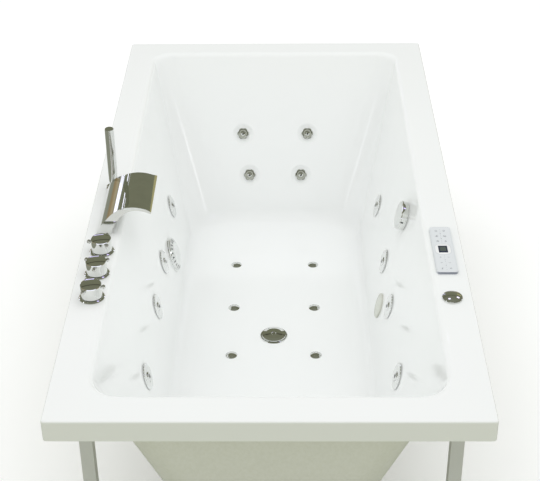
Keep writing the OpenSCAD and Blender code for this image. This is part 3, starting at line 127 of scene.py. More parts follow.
# Light that the world sends by the height of its direction, and what mirrors see there
LIGHT_RAMP = [
    (0.0, (0.43, 0.455, 0.26)),
    (0.25, (0.78, 0.79, 0.77)),
    (1.0, (0.88, 0.88, 0.89)),
]
MIRRORED_RAMP = [
    (0.0, (0.38, 0.30, 0.18)),
    (0.06, (0.42, 0.37, 0.25)),
    (0.12, (0.30, 0.26, 0.16)),
    (0.14, (1.5, 1.5, 1.75)),
    (0.235, (1.5, 1.5, 1.75)),
    (0.25, (0.20, 0.21, 0.14)),
    (0.60, (0.18, 0.185, 0.125)),
    (0.61, (0.07, 0.07, 0.05)),
    (0.63, (0.07, 0.07, 0.05)),
    (0.64, (0.18, 0.185, 0.125)),
    (1.0, (0.22, 0.23, 0.18)),
]
BACKDROP = (0.93, 0.94, 0.93)
# Panels that only mirrors see: low and high corner of a box of directions, and the glow
MIRRORED_PANELS = [
    ((-0.45, -1.0, 0.50), (0.14, -0.50, 0.72), (0.80, 0.81, 0.78)),
    ((-0.32, 0.5, 0.335), (-0.12, 1.0, 0.370), (1.05, 0.97, 1.5)),
    ((-0.388, 0.8, 0.33), (-0.374, 0.9, 0.40), (1.8, 1.8, 2.1)),
    ((-0.345, 0.8, 0.38), (-0.337, 0.9, 0.42), (1.2, 1.2, 1.4)),
    ((0.30, 0.8, 0.20), (0.46, 0.95, 0.41), (0.42, 0.39, 0.20)),
    ((0.40, -0.08, 0.80), (0.56, 0.12, 0.95), (1.1, 0.95, 1.6)),
    ((-0.12, 0.80, 0.05), (0.50, 1.0, 0.26), (0.20, 0.21, 0.14)),
    ((0.75, -0.26, 0.52), (0.81, -0.16, 0.62), (4.5, 4.5, 4.7)),
    ((-0.81, -0.26, 0.52), (-0.75, -0.16, 0.62), (2.7, 2.7, 2.8)),
]
# Lamps that light what isn't a mirror: name, place, target, size, power and colour
SOFT_LAMPS = [
    ("overhead", (0, 0.2, 3.4), (0, 0, 0.3), (3.0, 3.4), 20.0, (1.0, 1.0, 0.99)),
    ("basin_fill", (0, -0.2, 0.63), (0, -0.2, 0.0), (0.55, 1.0), 0.16, (1.0, 1.0, 1.0)),
]
# Small lamps close to the air control that only mirrors see: place and size
GLINT_LAMPS = [
    ((0.3795, -0.3955, 0.783), 0.028),
    ((0.5135, -0.3310, 0.770), 0.038),
]
# Power of a glint lamp for each square metre and each unit of pi, and the lamps' colour
GLINT_GLOW = 2.2
GLINT_COLOUR = (0.82, 0.74, 1.0)
# Paler walls of the studio to the left and right: box of directions as above, and the light
SIDE_WALLS = [
    ((-1.0, -0.7, -0.2), (-0.6, 0.8, 0.3), (0.91, 0.92, 0.90)),
    ((0.6, -0.7, -0.2), (1.0, 0.8, 0.3), (0.91, 0.92, 0.90)),
]
FLOOR_SIZE = 40
# Distances from the middle between which the mirrored floor changes its tone
FLOOR_FADE = (4.5, 7.0)


def panel_of_light(tree, split, low, high, glow, rest):
    """Colour that is glow where the direction lies in a box, and rest elsewhere."""
    inside = None
    for axis, start, end in zip("XYZ", low, high):
        compare = tree.nodes.new("ShaderNodeMath")
        compare.operation = "COMPARE"
        tree.links.new(split.outputs[axis], compare.inputs[0])
        compare.inputs[1].default_value = (start + end) / 2
        compare.inputs[2].default_value = (end - start) / 2
        if inside is None:
            inside = compare.outputs[0]
        else:
            both = tree.nodes.new("ShaderNodeMath")
            both.operation = "MULTIPLY"
            tree.links.new(inside, both.inputs[0])
            tree.links.new(compare.outputs[0], both.inputs[1])
            inside = both.outputs[0]
    mix = tree.nodes.new("ShaderNodeMix")
    mix.data_type = "RGBA"
    tree.links.new(inside, mix.inputs["Factor"])
    tree.links.new(rest, next(s for s in mix.inputs if s.identifier == "A_Color"))
    next(s for s in mix.inputs if s.identifier == "B_Color").default_value = (*glow, 1)
    return next(s for s in mix.outputs if s.identifier == "Result_Color")


def background(tree, colour):
    """Background shader with a fixed colour, or with one from a socket."""
    shade = tree.nodes.new("ShaderNodeBackground")
    if isinstance(colour, tuple):
        shade.inputs["Color"].default_value = (*colour, 1)
    else:
        tree.links.new(colour, shade.inputs["Color"])
    return shade.outputs[0]


def mixed_shaders(tree, factor, first, second):
    node = tree.nodes.new("ShaderNodeMixShader")
    for source, target in zip((factor, first, second), node.inputs):
        tree.links.new(source, target)
    return node.outputs[0]


def studio_world():
    """Soft white light all round, and for mirrors a studio's dark ceiling and bright windows."""
    world = bpy.data.worlds.new("studio")
    world.use_nodes = True
    SCENE.world = world
    tree = world.node_tree
    tree.nodes.clear()
    direction = tree.nodes.new("ShaderNodeTexCoord").outputs["Generated"]
    split = tree.nodes.new("ShaderNodeSeparateXYZ")
    tree.links.new(direction, split.inputs[0])
    light = ramp(tree, LIGHT_RAMP, split.outputs["Z"])
    for low, high, glow in SIDE_WALLS:
        light = panel_of_light(tree, split, low, high, glow, light)
    mirrored = ramp(tree, MIRRORED_RAMP, split.outputs["Z"])
    for low, high, glow in MIRRORED_PANELS:
        mirrored = panel_of_light(tree, split, low, high, glow, mirrored)
    rays = tree.nodes.new("ShaderNodeLightPath").outputs
    around = mixed_shaders(
        tree, rays["Is Glossy Ray"], background(tree, light), background(tree, mirrored)
    )
    seen = mixed_shaders(tree, rays["Is Camera Ray"], around, background(tree, BACKDROP))
    out = tree.nodes.new("ShaderNodeOutputWorld")
    tree.links.new(seen, out.inputs["Surface"])


def area_light(name, place, target, size, power, colour, mirrored):
    """Rectangular light at a place, turned to a target, that mirrors or all else sees."""
    data = bpy.data.lights.new(name, "AREA")
    data.shape = "RECTANGLE"
    data.size, data.size_y = size
    data.energy = power
    data.color = colour
    light = bpy.data.objects.new(name, data)
    light.location = place
    light.rotation_euler = (Vector(target) - Vector(place)).to_track_quat("-Z", "Y").to_euler()
    light.visible_glossy = mirrored
    light.visible_diffuse = not mirrored
    light.visible_camera = False
    SCENE.collection.objects.link(light)


def studio():
    SCENE.view_settings.view_transform = "Standard"
    studio_world()
    for lamp in SOFT_LAMPS:
        area_light(*lamp, mirrored=False)
    target = (*AIR_CONTROL, DECK_Z)
    for number, (place, size) in enumerate(GLINT_LAMPS, 1):
        power = GLINT_GLOW * math.pi * size * size
        area_light(
            f"glint_{number}", place, target, (size, size), power, GLINT_COLOUR, mirrored=True
        )
    bpy.ops.mesh.primitive_plane_add(size=FLOOR_SIZE, location=(0, 0, 0))
    floor = bpy.context.object
    floor.name = "studio_floor"
    floor.data.materials.append(studio_paper())


def studio_paper():
    """Matt paper that looks white, and sends a softer light back up."""
    graph = Graph("studio_paper")
    rays = graph.tree.nodes.new("ShaderNodeLightPath").outputs
    seen = rays["Is Camera Ray"]
    grain = graph.mixed(
        graph.spread(graph.noise(0.6), 0, 1), (0.97, 0.975, 0.97), (0.955, 0.96, 0.955)
    )
    reach = graph.tree.nodes.new("ShaderNodeVectorMath")
    reach.operation = "LENGTH"
    graph.link(graph.place, reach.inputs[0])
    fade = graph.spread(reach.outputs["Value"], 0, 1, *FLOOR_FADE)
    mirrored = graph.mixed(fade, (0.30, 0.31, 0.25), (0.36, 0.28, 0.16))
    around = graph.mixed(rays["Is Glossy Ray"], (0.51, 0.53, 0.385), mirrored)
    graph.colour(graph.mixed(seen, around, grain))
    graph.roughness(graph.spread(graph.noise(40.0), 0.7, 0.8))
    glow = graph.mixed(seen, (0.0, 0.0, 0.0), (0.16, 0.16, 0.16))
    graph.link(glow, graph.shader.inputs["Emission Color"])
    graph.fixed(Emission_Strength=1.0, Specular_IOR_Level=0.0)
    return graph.material


# ---------------------------------------------------------------------------
# Materials


class Graph:
    """Node graph of one material, with its shader and object coordinates."""

    def __init__(self, name):
        self.material = bpy.data.materials.new(name)
        self.material.use_nodes = True
        self.tree = self.material.node_tree
        self.shader = next(n for n in self.tree.nodes if n.type == "BSDF_PRINCIPLED")
        self.place = self.tree.nodes.new("ShaderNodeTexCoord").outputs["Object"]

    def link(self, source, target):
        self.tree.links.new(source, target)

    def noise(self, scale, detail=3.0, stretch=None):
        node = self.tree.nodes.new("ShaderNodeTexNoise")
        node.inputs["Scale"].default_value = scale
        node.inputs["Detail"].default_value = detail
        self.link(self.stretched(stretch), node.inputs["Vector"])
        return node.outputs["Fac"]

    def cells(self, scale, stretch=None):
        """A random tone in each cell."""
        node = self.tree.nodes.new("ShaderNodeTexVoronoi")
        node.inputs["Scale"].default_value = scale
        self.link(self.stretched(stretch), node.inputs["Vector"])
        return node.outputs["Color"]

    def stretched(self, stretch):
        if stretch is None:
            return self.place
        node = self.tree.nodes.new("ShaderNodeMapping")
        node.inputs["Scale"].default_value = stretch
        self.link(self.place, node.inputs["Vector"])
        return node.outputs["Vector"]

    def spread(self, source, low, high, start=0.35, end=0.65):
        """Values low to high, from a source that runs from start to end."""
        node = self.tree.nodes.new("ShaderNodeMapRange")
        limits = {"From Min": start, "From Max": end, "To Min": low, "To Max": high}
        for name, value in limits.items():
            node.inputs[name].default_value = value
        self.link(source, node.inputs["Value"])
        return node.outputs["Result"]

    def mixed(self, factor, first, second):
        """Colour between two, each of them a tuple or a socket."""
        node = self.tree.nodes.new("ShaderNodeMix")
        node.data_type = "RGBA"
        colour_sockets = [s for s in node.inputs if s.type == "RGBA"]
        for socket, value in zip(colour_sockets, (first, second)):
            if isinstance(value, tuple):
                socket.default_value = (*value, 1)
            else:
                self.link(value, socket)
        self.link(factor, next(s for s in node.inputs if s.type == "VALUE"))
        return next(s for s in node.outputs if s.type == "RGBA")

    def bump(self, heights, depth):
        """Relief of a depth in metres, on top of what is there."""
        node = self.tree.nodes.new("ShaderNodeBump")
        node.inputs["Distance"].default_value = depth
        node.inputs["Strength"].default_value = 1.0
        self.link(heights, node.inputs["Height"])
        if self.shader.inputs["Normal"].is_linked:
            self.link(self.shader.inputs["Normal"].links[0].from_socket, node.inputs["Normal"])
        self.link(node.outputs["Normal"], self.shader.inputs["Normal"])

    def colour(self, source):
        self.link(source, self.shader.inputs["Base Color"])

    def roughness(self, source):
        self.link(source, self.shader.inputs["Roughness"])

    def fixed(self, **values):
        """Sets sockets of the shader, with _ for each space in their names."""
        for name, value in values.items():
            self.shader.inputs[name.replace("_", " ")].default_value = value


# Scale of the noise that makes a surface's gloss uneven
GLOSS_GRAIN = 180.0


def surface(name, first, second, rough, patch=6.0, relief=None, **fixed):
    """Two near tones in soft patches, uneven gloss and, with (scale, depth), a fine relief."""
    graph = Graph(name)
    graph.colour(graph.mixed(graph.spread(graph.noise(patch), 0, 1), first, second))
    graph.roughness(graph.spread(graph.noise(GLOSS_GRAIN, 2.0), *rough))
    if relief:
        graph.bump(graph.noise(relief[0], 2.0), relief[1])
    graph.fixed(**fixed)
    return graph.material


def acrylic():
    """Glossy vacuum-formed acrylic, with the slight waviness of the formed sheet."""
    graph = Graph("acrylic")
    patches = graph.spread(graph.noise(3.0), 0, 1)
    graph.colour(graph.mixed(patches, (0.935, 0.952, 0.944), (0.94, 0.954, 0.948)))
    graph.roughness(graph.spread(graph.noise(24.0), 0.05, 0.09))
    graph.bump(graph.noise(9.0, 1.0), 0.25 * MM)
    graph.fixed(IOR=1.49, Specular_IOR_Level=0.31, Coat_Weight=0.04, Coat_Roughness=0.03)
    return graph.material


def laminate():
    """Resin and chopped glass strands rolled onto the back of the shell."""
    graph = Graph("laminate")
    strands = graph.noise(140.0, 6.0, (1.0, 0.25, 0.6))
    crossed = graph.noise(120.0, 5.0, (0.2, 1.0, 0.7))
    tones = graph.spread(strands, 0, 1)
    graph.colour(graph.mixed(tones, (0.90, 0.905, 0.88), (0.94, 0.945, 0.93)))
    graph.roughness(graph.spread(crossed, 0.30, 0.55))
    graph.bump(strands, 0.5 * MM)
    graph.bump(crossed, 0.4 * MM)
    return graph.material


def chrome(name, tone=(0.80, 0.81, 0.79), rough=(0.025, 0.06)):
    """Polished chrome plate with faint wiping marks."""
    graph = Graph(name)
    darker = tuple(c * 0.96 for c in tone)
    graph.colour(graph.mixed(graph.spread(graph.noise(40.0), 0, 1), tone, darker))
    graph.roughness(graph.spread(graph.noise(160.0, 3.0, (1.0, 1.0, 0.2)), *rough))
    graph.fixed(Metallic=1.0)
    return graph.material


def chipboard():
    """Pressed chips of wood of several tones, with their fine grain."""
    graph = Graph("chipboard")
    chips = graph.spread(graph.cells(260.0, (1.0, 0.45, 1.0)), 0, 1, 0.1, 0.9)
    fine = graph.noise(700.0, 4.0)
    tones = graph.mixed(chips, (0.42, 0.30, 0.17), (0.66, 0.52, 0.33))
    graph.colour(graph.mixed(graph.spread(fine, 0, 0.5), tones, (0.74, 0.62, 0.44)))
    graph.roughness(graph.spread(fine, 0.7, 0.9))
    graph.bump(fine, 0.2 * MM)
    return graph.material


def zinc():
    """Zinc plate with its pale spangle."""
    graph = Graph("zinc")
    spangle = graph.spread(graph.cells(160.0), 0, 1, 0.1, 0.9)
    graph.colour(graph.mixed(spangle, (0.56, 0.57, 0.58), (0.70, 0.71, 0.72)))
    graph.roughness(graph.spread(graph.noise(300.0), 0.28, 0.42))
    graph.fixed(Metallic=1.0)
    return graph.material


def brass():
    """Turned brass, with the tool's fine rings."""
    graph = Graph("brass")
    rings = graph.noise(90.0, 3.0, (1.0, 1.0, 9.0))
    graph.colour(graph.mixed(graph.spread(rings, 0, 1), (0.60, 0.44, 0.18), (0.72, 0.56, 0.27)))
    graph.roughness(graph.spread(rings, 0.22, 0.36))
    graph.bump(rings, 0.03 * MM)
    graph.fixed(Metallic=1.0)
    return graph.material


def panel_silver():
    """Satin moulding, printed pale on all that faces up and left grey on its upright sides, with
    painted shade darkening the side that faces the foot.
    """
    graph = Graph("panel_silver")
    normal = graph.tree.nodes.new("ShaderNodeNewGeometry").outputs["Normal"]
    split = graph.tree.nodes.new("ShaderNodeSeparateXYZ")
    graph.link(normal, split.inputs[0])
    # The side that faces the foot gets a dark blue-grey: painted shade, picked by the way the
    # surface faces
    away_from_painted_foot_shade = graph.spread(split.outputs["Y"], 0, 1, -0.9, -0.6)
    facing_up = graph.spread(split.outputs["Z"], 0, 1, 0.25, 0.5)
    side = graph.mixed(away_from_painted_foot_shade, (0.30, 0.32, 0.38), (0.62, 0.65, 0.68))
    graph.colour(graph.mixed(facing_up, side, (0.79, 0.82, 0.84)))
    graph.roughness(graph.spread(graph.noise(GLOSS_GRAIN, 2.0), 0.28, 0.38))
    return graph.material


def materials():
    """Materials of the record's slots, of the nodes with their own finish, and of the print."""
    looks = {
        "acrylic": acrylic(),
        "laminate": laminate(),
        "chrome": chrome("chrome"),
        "jet_chrome": chrome("jet_chrome", (0.84, 0.85, 0.84), (0.09, 0.15)),
        "soft_chrome": chrome("soft_chrome", (0.86, 0.87, 0.86), (0.24, 0.30)),
        "smoked_chrome": chrome("smoked_chrome", (0.47, 0.48, 0.43), (0.07, 0.12)),
        "board": chipboard(),
        "zinc_steel": zinc(),
        "brass": brass(),
        "panel_silver": panel_silver(),
    }
    # Two tones, the limits of the roughness, and what else a surface has
    plain = {
        "frame_paint": [
            (0.70, 0.71, 0.71), (0.74, 0.75, 0.75), (0.38, 0.5), {"relief": (900.0, 0.05 * MM)},
        ],
        "white_plastic": [
            (0.80, 0.81, 0.79), (0.83, 0.84, 0.83), (0.22, 0.34), {"relief": (260.0, 0.04 * MM)},
        ],
        "lens": [
            (0.77, 0.80, 0.71), (0.79, 0.81, 0.73), (0.16, 0.24),
            {"patch": 30.0, "relief": (420.0, 0.08 * MM), "Transmission_Weight": 0.15, "IOR": 1.49},
        ],
        "bezel": [(0.60, 0.62, 0.54), (0.64, 0.65, 0.58), (0.2, 0.3), {}],
        "black_cable": [
            (0.012, 0.012, 0.014), (0.02, 0.02, 0.022), (0.45, 0.6),
            {"relief": (500.0, 0.05 * MM)},
        ],
        "panel_face": [
            (0.77, 0.80, 0.82), (0.79, 0.82, 0.84), (0.28, 0.36), {"relief": (1400.0, 0.02 * MM)},
        ],
        "pump_plastic": [
            (0.035, 0.037, 0.04), (0.05, 0.052, 0.056), (0.42, 0.55),
            {"relief": (800.0, 0.06 * MM)},
        ],
        "motor_paint": [
            (0.30, 0.32, 0.34), (0.36, 0.38, 0.40), (0.35, 0.5),
            {"relief": (500.0, 0.12 * MM), "Metallic": 0.8},
        ],
        "blower_plastic": [
            (0.06, 0.066, 0.072), (0.08, 0.086, 0.092), (0.4, 0.52),
            {"relief": (700.0, 0.06 * MM)},
        ],
        "box_plastic": [
            (0.60, 0.62, 0.63), (0.64, 0.66, 0.67), (0.42, 0.55), {"relief": (1100.0, 0.07 * MM)},
        ],
        "rotor_steel": [
            (0.40, 0.41, 0.42), (0.48, 0.49, 0.50), (0.25, 0.38), {"patch": 60.0, "Metallic": 1.0},
        ],
        "print_grey": [(0.36, 0.38, 0.41), (0.40, 0.42, 0.45), (0.35, 0.45), {}],
        "print_pale": [(0.70, 0.73, 0.76), (0.73, 0.76, 0.78), (0.3, 0.4), {}],
        "print_white": [(0.90, 0.91, 0.91), (0.92, 0.93, 0.93), (0.3, 0.4), {}],
        "display_glass": [
            (0.028, 0.034, 0.062), (0.036, 0.042, 0.07), (0.06, 0.1), {"IOR": 1.5},
        ],
        "display_window": [
            (0.085, 0.105, 0.095), (0.10, 0.12, 0.108), (0.08, 0.14), {"IOR": 1.5},
        ],
    }
    for name, (first, second, rough, more) in plain.items():
        looks[name] = surface(name, first, second, rough, **more)
    return looks


# Nodes whose finish differs from that of their slot
FINISHES = {
    "jet_chrome": ["side_jet_rings", "suction_cover"],
    "soft_chrome": [f"side_jet_nozzle_{i}" for i in range(1, 9)],
    "smoked_chrome": ["back_jet_rosettes"],
}


def dress_frame(looks):
    """Gives every node of the frame its own finish, or else the material of its slot."""
    finish_of = {part["node"]: part["material_slot"] for part in frame["record"]["subparts"]}
    for finish, names in FINISHES.items():
        finish_of.update(dict.fromkeys(names, finish))
    for name, obj in NODES.items():
        look = looks[finish_of[name]]
        if obj.material_slots:
            for place in obj.material_slots:
                place.material = look
        else:
            obj.data.materials.append(look)


# ---------------------------------------------------------------------------
# Mesh helpers


def mesh_object(name, points, faces, looks, slot):
    """Piece from points and faces. It rides on the tub."""
    mesh = bpy.data.meshes.new(name)
    mesh.from_pydata([tuple(p) for p in points], [], faces)
    for look in looks:
        mesh.materials.append(look)
    obj = bpy.data.objects.new(name, mesh)
    SCENE.collection.objects.link(obj)
    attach(obj, "tub")
    return obj


def smooth(obj, angle=30.0):
    """Smooth shading, with edges sharper than an angle left sharp."""
    graph = bmesh.new()
    graph.from_mesh(obj.data)
    bmesh.ops.recalc_face_normals(graph, faces=graph.faces)
    limit = math.radians(angle)
    for face in graph.faces:
        face.smooth = True
    for edge in graph.edges:
        edge.smooth = not (len(edge.link_faces) == 2 and edge.calc_face_angle(0) > limit)
    graph.to_mesh(obj.data)
    graph.free()


def apply_modifiers(obj):
    """Replaces an object's mesh with the result of its modifiers."""
    bpy.context.view_layer.update()
    evaluated = obj.evaluated_get(bpy.context.evaluated_depsgraph_get())
    result = bpy.data.meshes.new_from_object(evaluated)
    obj.modifiers.clear()
    obj.data = result


def cut(obj, cutters, operation="DIFFERENCE"):
    """Boolean of obj with cutter objects, which are then removed."""
    for cutter in cutters:
        modifier = obj.modifiers.new("cut", "BOOLEAN")
        modifier.operation = operation
        modifier.solver = "EXACT"
        modifier.object = cutter
    apply_modifiers(obj)
    for cutter in cutters:
        bpy.data.objects.remove(cutter)


def bevelled(obj, width, segments, angle):
    """Bevel on the edges that are sharper than an angle in degrees."""
    modifier = obj.modifiers.new("edges", "BEVEL")
    modifier.width = width
    modifier.segments = segments
    modifier.limit_method = "ANGLE"
    modifier.angle_limit = math.radians(angle)
    apply_modifiers(obj)


def weighted_normals(obj):
    modifier = obj.modifiers.new("weighted", "WEIGHTED_NORMAL")
    modifier.keep_sharp = True
    apply_modifiers(obj)


def joined(name, pieces):
    """One mesh object, on no body, from several (points, faces) pairs."""
    points, faces = [], []
    for some_points, some_faces in pieces:
        start = len(points)
        points += some_points
        faces += [tuple(i + start for i in face) for face in some_faces]
    mesh = bpy.data.meshes.new(name)
    mesh.from_pydata([tuple(p) for p in points], [], faces)
    obj = bpy.data.objects.new(name, mesh)
    SCENE.collection.objects.link(obj)
    return obj


def turned(profile, place, steps=96):
    """Solid of revolution from (radius, height) pairs that start and end on the axis."""
    inner = profile[1:-1]
    points = [place @ Vector((0, 0, height)) for _, height in (profile[0], profile[-1])]
    for radius, height in inner:
        for k in range(steps):
            a = 2 * math.pi * k / steps
            points.append(place @ Vector((radius * math.cos(a), radius * math.sin(a), height)))
    faces = []
    last = 2 + (len(inner) - 1) * steps
    for k in range(steps):
        after = (k + 1) % steps
        faces.append((0, 2 + after, 2 + k))
        faces.append((1, last + k, last + after))
        for row in range(len(inner) - 1):
            a, b = 2 + row * steps, 2 + (row + 1) * steps
            faces.append((a + k, a + after, b + after, b + k))
    return points, faces


# ---------------------------------------------------------------------------
# Places, the same as the frame's


def side_x(z):
    return FLOOR_HALF + (z - FLOOR_Z) * math.tan(SIDE_LEAN)


def head_y(z):
    return FLOOR_HEAD + (z - FLOOR_Z) * math.tan(HEAD_LEAN)


def on_side_wall(side, y, drop):
    """Place matrix on a side wall, with its +Z into the basin."""
    z = DECK_Z - drop
    mirror = Matrix.Diagonal((side, 1, 1, 1))
    lean = Matrix.Rotation(SIDE_LEAN - math.pi / 2, 4, "Y")
    return mirror @ Matrix.Translation((side_x(z), y, z)) @ lean


def on_backrest(x, drop):
    z = DECK_Z - drop
    lean = Matrix.Rotation(math.pi / 2 - HEAD_LEAN, 4, "X")
    return Matrix.Translation((x, head_y(z), z)) @ lean


def on_floor(x, y):
    return Matrix.Translation((x, y, FLOOR_Z))


def on_deck(x, y):
    return Matrix.Translation((x, y, DECK_Z))


# On a side wall as (side, along the tub, depth below the deck), on the backrest as (x, depth)
SIDE_JETS = [(side, y, 0.255) for side in (-1, 1) for y in (-0.443, -0.160, 0.046, 0.334)]
SUCTION = (-1, 0.158, 0.305)
LIGHT = (1, -0.070, 0.317)
OVERFLOW = (1, 0.008, 0.089)
BACK_JETS = [(-0.099, 0.205), (0.099, 0.205), (-0.079, 0.311), (0.079, 0.311)]
# On the floor
INJECTORS = [(x, y) for x in (-0.111, 0.111) for y in (-0.150, 0.063, 0.276)]
DRAIN = (0, -0.064)
# On the deck
TAPS = [(-0.401, -0.4775), (-0.401, -0.3835), (-0.401, -0.2895)]
SPOUT_SHANK = (-0.405, -0.115)
WAND = (-0.406, 0.007)
PANEL = (0.4035, -0.2915)
AIR_CONTROL = (0.4035, -0.4835)
PANEL_TOP = 0.006

# Radii of the shell's holes, and the size of the panel's cutter
SIDE_JET_HOLE = 0.025
BACK_JET_HOLE = 0.012
INJECTOR_HOLE = 0.010
TAP_HOLE = 0.0165
SUCTION_HOLE = 0.028
LIGHT_HOLE = 0.026
OVERFLOW_HOLE = 0.026
DRAIN_HOLE = 0.026
SPOUT_HOLE = 0.014
WAND_HOLE = 0.0148
AIR_CONTROL_HOLE = 0.0155
PANEL_HOLE = (0.037, 0.155, 0.022)
# How far a round cutter reaches to each side of the wall's face
CUTTER_REACH = 0.016

# Dimples round the back jets: outer radius, radius of the flat floor, depth, and the height
# of the cutter's shoulder, which ends a little above the wall
DIMPLE_R = 0.0335
DIMPLE_FLAT = 0.0215
DIMPLE_DEPTH = 2.4 * MM
DIMPLE_RISE = DIMPLE_DEPTH * 1.05


# ---------------------------------------------------------------------------
# Shell


def outline(half, y0, y1, r0, r1, steps=20):
    """Rounded rectangle from -half to half and y0 to y1, with corner radii at y0 and y1."""
    points = []
    for quarter in range(4):
        r = r1 if quarter < 2 else r0
        cx = (1 if quarter in (0, 3) else -1) * (half - r)
        cy = y1 - r if quarter < 2 else y0 + r
        for i in range(steps + 1):
            a = math.pi / 2 * (quarter + i / steps)
            points.append((cx + r * math.cos(a), cy + r * math.sin(a)))
    return points


def lift(points, z):
    return [Vector((x, y, z)) for x, y in points]


def rim_ring(inset, z):
    r = max(RIM_CORNER - inset, MM)
    x, y = RIM_HALF
    return lift(outline(x - inset, inset - y, y - inset, r, r), z)


def opening_ring(side, foot, head, z):
    """Ring of the opening, let out by three distances."""
    y0, y1 = OPENING_FOOT - foot, OPENING_HEAD + head
    corners = (FOOT_CORNER + side, HEAD_CORNER + side)
    return lift(outline(OPENING_HALF + side, y0, y1, *corners), z)


def floor_ring(side, foot, head, z):
    r = FLOOR_CORNER + side
    return lift(outline(FLOOR_HALF + side, FLOOR_FOOT - foot, FLOOR_HEAD + head, r, r), z)


def along(a, b, distance):
    """Ring on the straight wall between rings a and b, at a distance from a."""
    return [p + (q - p).normalized() * distance for p, q in zip(a, b)]


def rounding(a, b, c, steps=14):
    """Rings of a quadratic curve from ring a by way of ring b to ring c."""
    rings = []
    for i in range(steps + 1):
        t = i / steps
        u = 1 - t
        rings.append([p * u ** 2 + q * (2 * t * u) + r * t * t for p, q, r in zip(a, b, c)])
    return rings


def wall_rings(a, b):
    """Rings between two wall rings, with one close to each end."""
    return [
        [p.lerp(q, share) for p, q in zip(a, b)] for share in (0.015, 0.2, 0.4, 0.6, 0.8, 0.985)
    ]


def back_shift(lean):
    """Level distance from a leaning wall's face to its back, where the back meets the deck."""
    return WALL * (1 / math.cos(lean) - math.tan(lean))


# Steps round the rim's upper edge
EDGE_STEPS = 8


def shell_rings():
    """Rings of the shell, from below its floor, round the lip, to its floor.

    The second result is how many of them lie behind.
    """
    e, f = EDGE_ROUND, FLOOR_ROUND
    top, top_out = opening_ring(0, 0, 0, DECK_Z), opening_ring(e, e, e, DECK_Z)
    base, base_in = floor_ring(0, 0, 0, FLOOR_Z), floor_ring(-f, -f, -f, FLOOR_Z)
    side, foot, head = back_shift(SIDE_LEAN), back_shift(FOOT_LEAN), back_shift(HEAD_LEAN)
    under, below = DECK_Z - WALL, FLOOR_Z - WALL
    be, bf = e - WALL * ROUND_GAIN, f + WALL * ROUND_GAIN
    back_top = opening_ring(side, foot, head, under)
    back_out = opening_ring(side + be, foot + be, head + be, under)
    back_base = floor_ring(side, foot, head, below)
    back_in = floor_ring(side - bf, foot - bf, head - bf, below)
    behind = rounding(back_in, back_base, along(back_base, back_top, bf))
    start = along(back_top, back_base, be)
    behind += wall_rings(behind[-1], start) + rounding(start, back_top, back_out)
    lip = DECK_Z - LIP_DROP
    behind += [rim_ring(WALL, under), rim_ring(WALL, lip)]
    front = [rim_ring(0, z) for z in (lip, lip + MM, DECK_Z - RIM_EDGE - MM)]
    for i in range(EDGE_STEPS + 1):
        a = math.pi / 2 * i / EDGE_STEPS
        rise = 1 - math.sin(a)
        front.append(rim_ring(RIM_EDGE * (1 - math.cos(a)), DECK_Z - RIM_EDGE * rise))
    front += [rim_ring(RIM_EDGE + MM, DECK_Z), opening_ring(e + MM, e + MM, e + MM, DECK_Z)]
    front += rounding(top_out, top, along(top, base, e))
    end = along(base, top, f)
    front += wall_rings(front[-1], end) + rounding(end, base, base_in)
    return behind + front, len(behind)


def cylinder_cutter(place, radius):
    reach = CUTTER_REACH
    return turned([(0, -reach), (radius, -reach), (radius, reach), (0, reach)], place, steps=64)


def dimple_cutter(place, steps=10):
    """Shallow dish with soft shoulders, with its floor on the place."""
    profile = [(0, 0)]
    for i in range(steps + 1):
        t = i / steps
        rise = DIMPLE_RISE * (1 - math.cos(math.pi * t)) / 2
        profile.append((DIMPLE_FLAT + (DIMPLE_R - DIMPLE_FLAT) * t, rise))
    top = DIMPLE_DEPTH + 2 * MM
    return turned(profile + [(DIMPLE_R, top), (0, top)], place)


def box_cutter(place, size):
    corners = [
        place @ Vector((x * size[0] / 2, y * size[1] / 2, z * size[2] / 2))
        for x in (-1, 1) for y in (-1, 1) for z in (-1, 1)
    ]
    faces = [(0, 1, 3, 2), (4, 6, 7, 5), (0, 4, 5, 1), (2, 3, 7, 6), (0, 2, 6, 4), (1, 5, 7, 3)]
    return corners, faces


def shell_cutters():
    """Holes of the shell, at the frame's places and sizes."""
    holes = [(on_side_wall(*jet), SIDE_JET_HOLE) for jet in SIDE_JETS]
    holes += [(on_backrest(*jet), BACK_JET_HOLE) for jet in BACK_JETS]
    holes += [(on_floor(*spot), INJECTOR_HOLE) for spot in INJECTORS]
    holes += [(on_deck(*tap), TAP_HOLE) for tap in TAPS]
    holes += [
        (on_side_wall(*SUCTION), SUCTION_HOLE),
        (on_side_wall(*LIGHT), LIGHT_HOLE),
        (on_side_wall(*OVERFLOW), OVERFLOW_HOLE),
        (on_floor(*DRAIN), DRAIN_HOLE),
        (on_deck(*SPOUT_SHANK), SPOUT_HOLE),
        (on_deck(*WAND), WAND_HOLE),
        (on_deck(*AIR_CONTROL), AIR_CONTROL_HOLE),
    ]
    cutters = [cylinder_cutter(place, radius) for place, radius in holes]
    return cutters + [box_cutter(on_deck(*PANEL), PANEL_HOLE)]


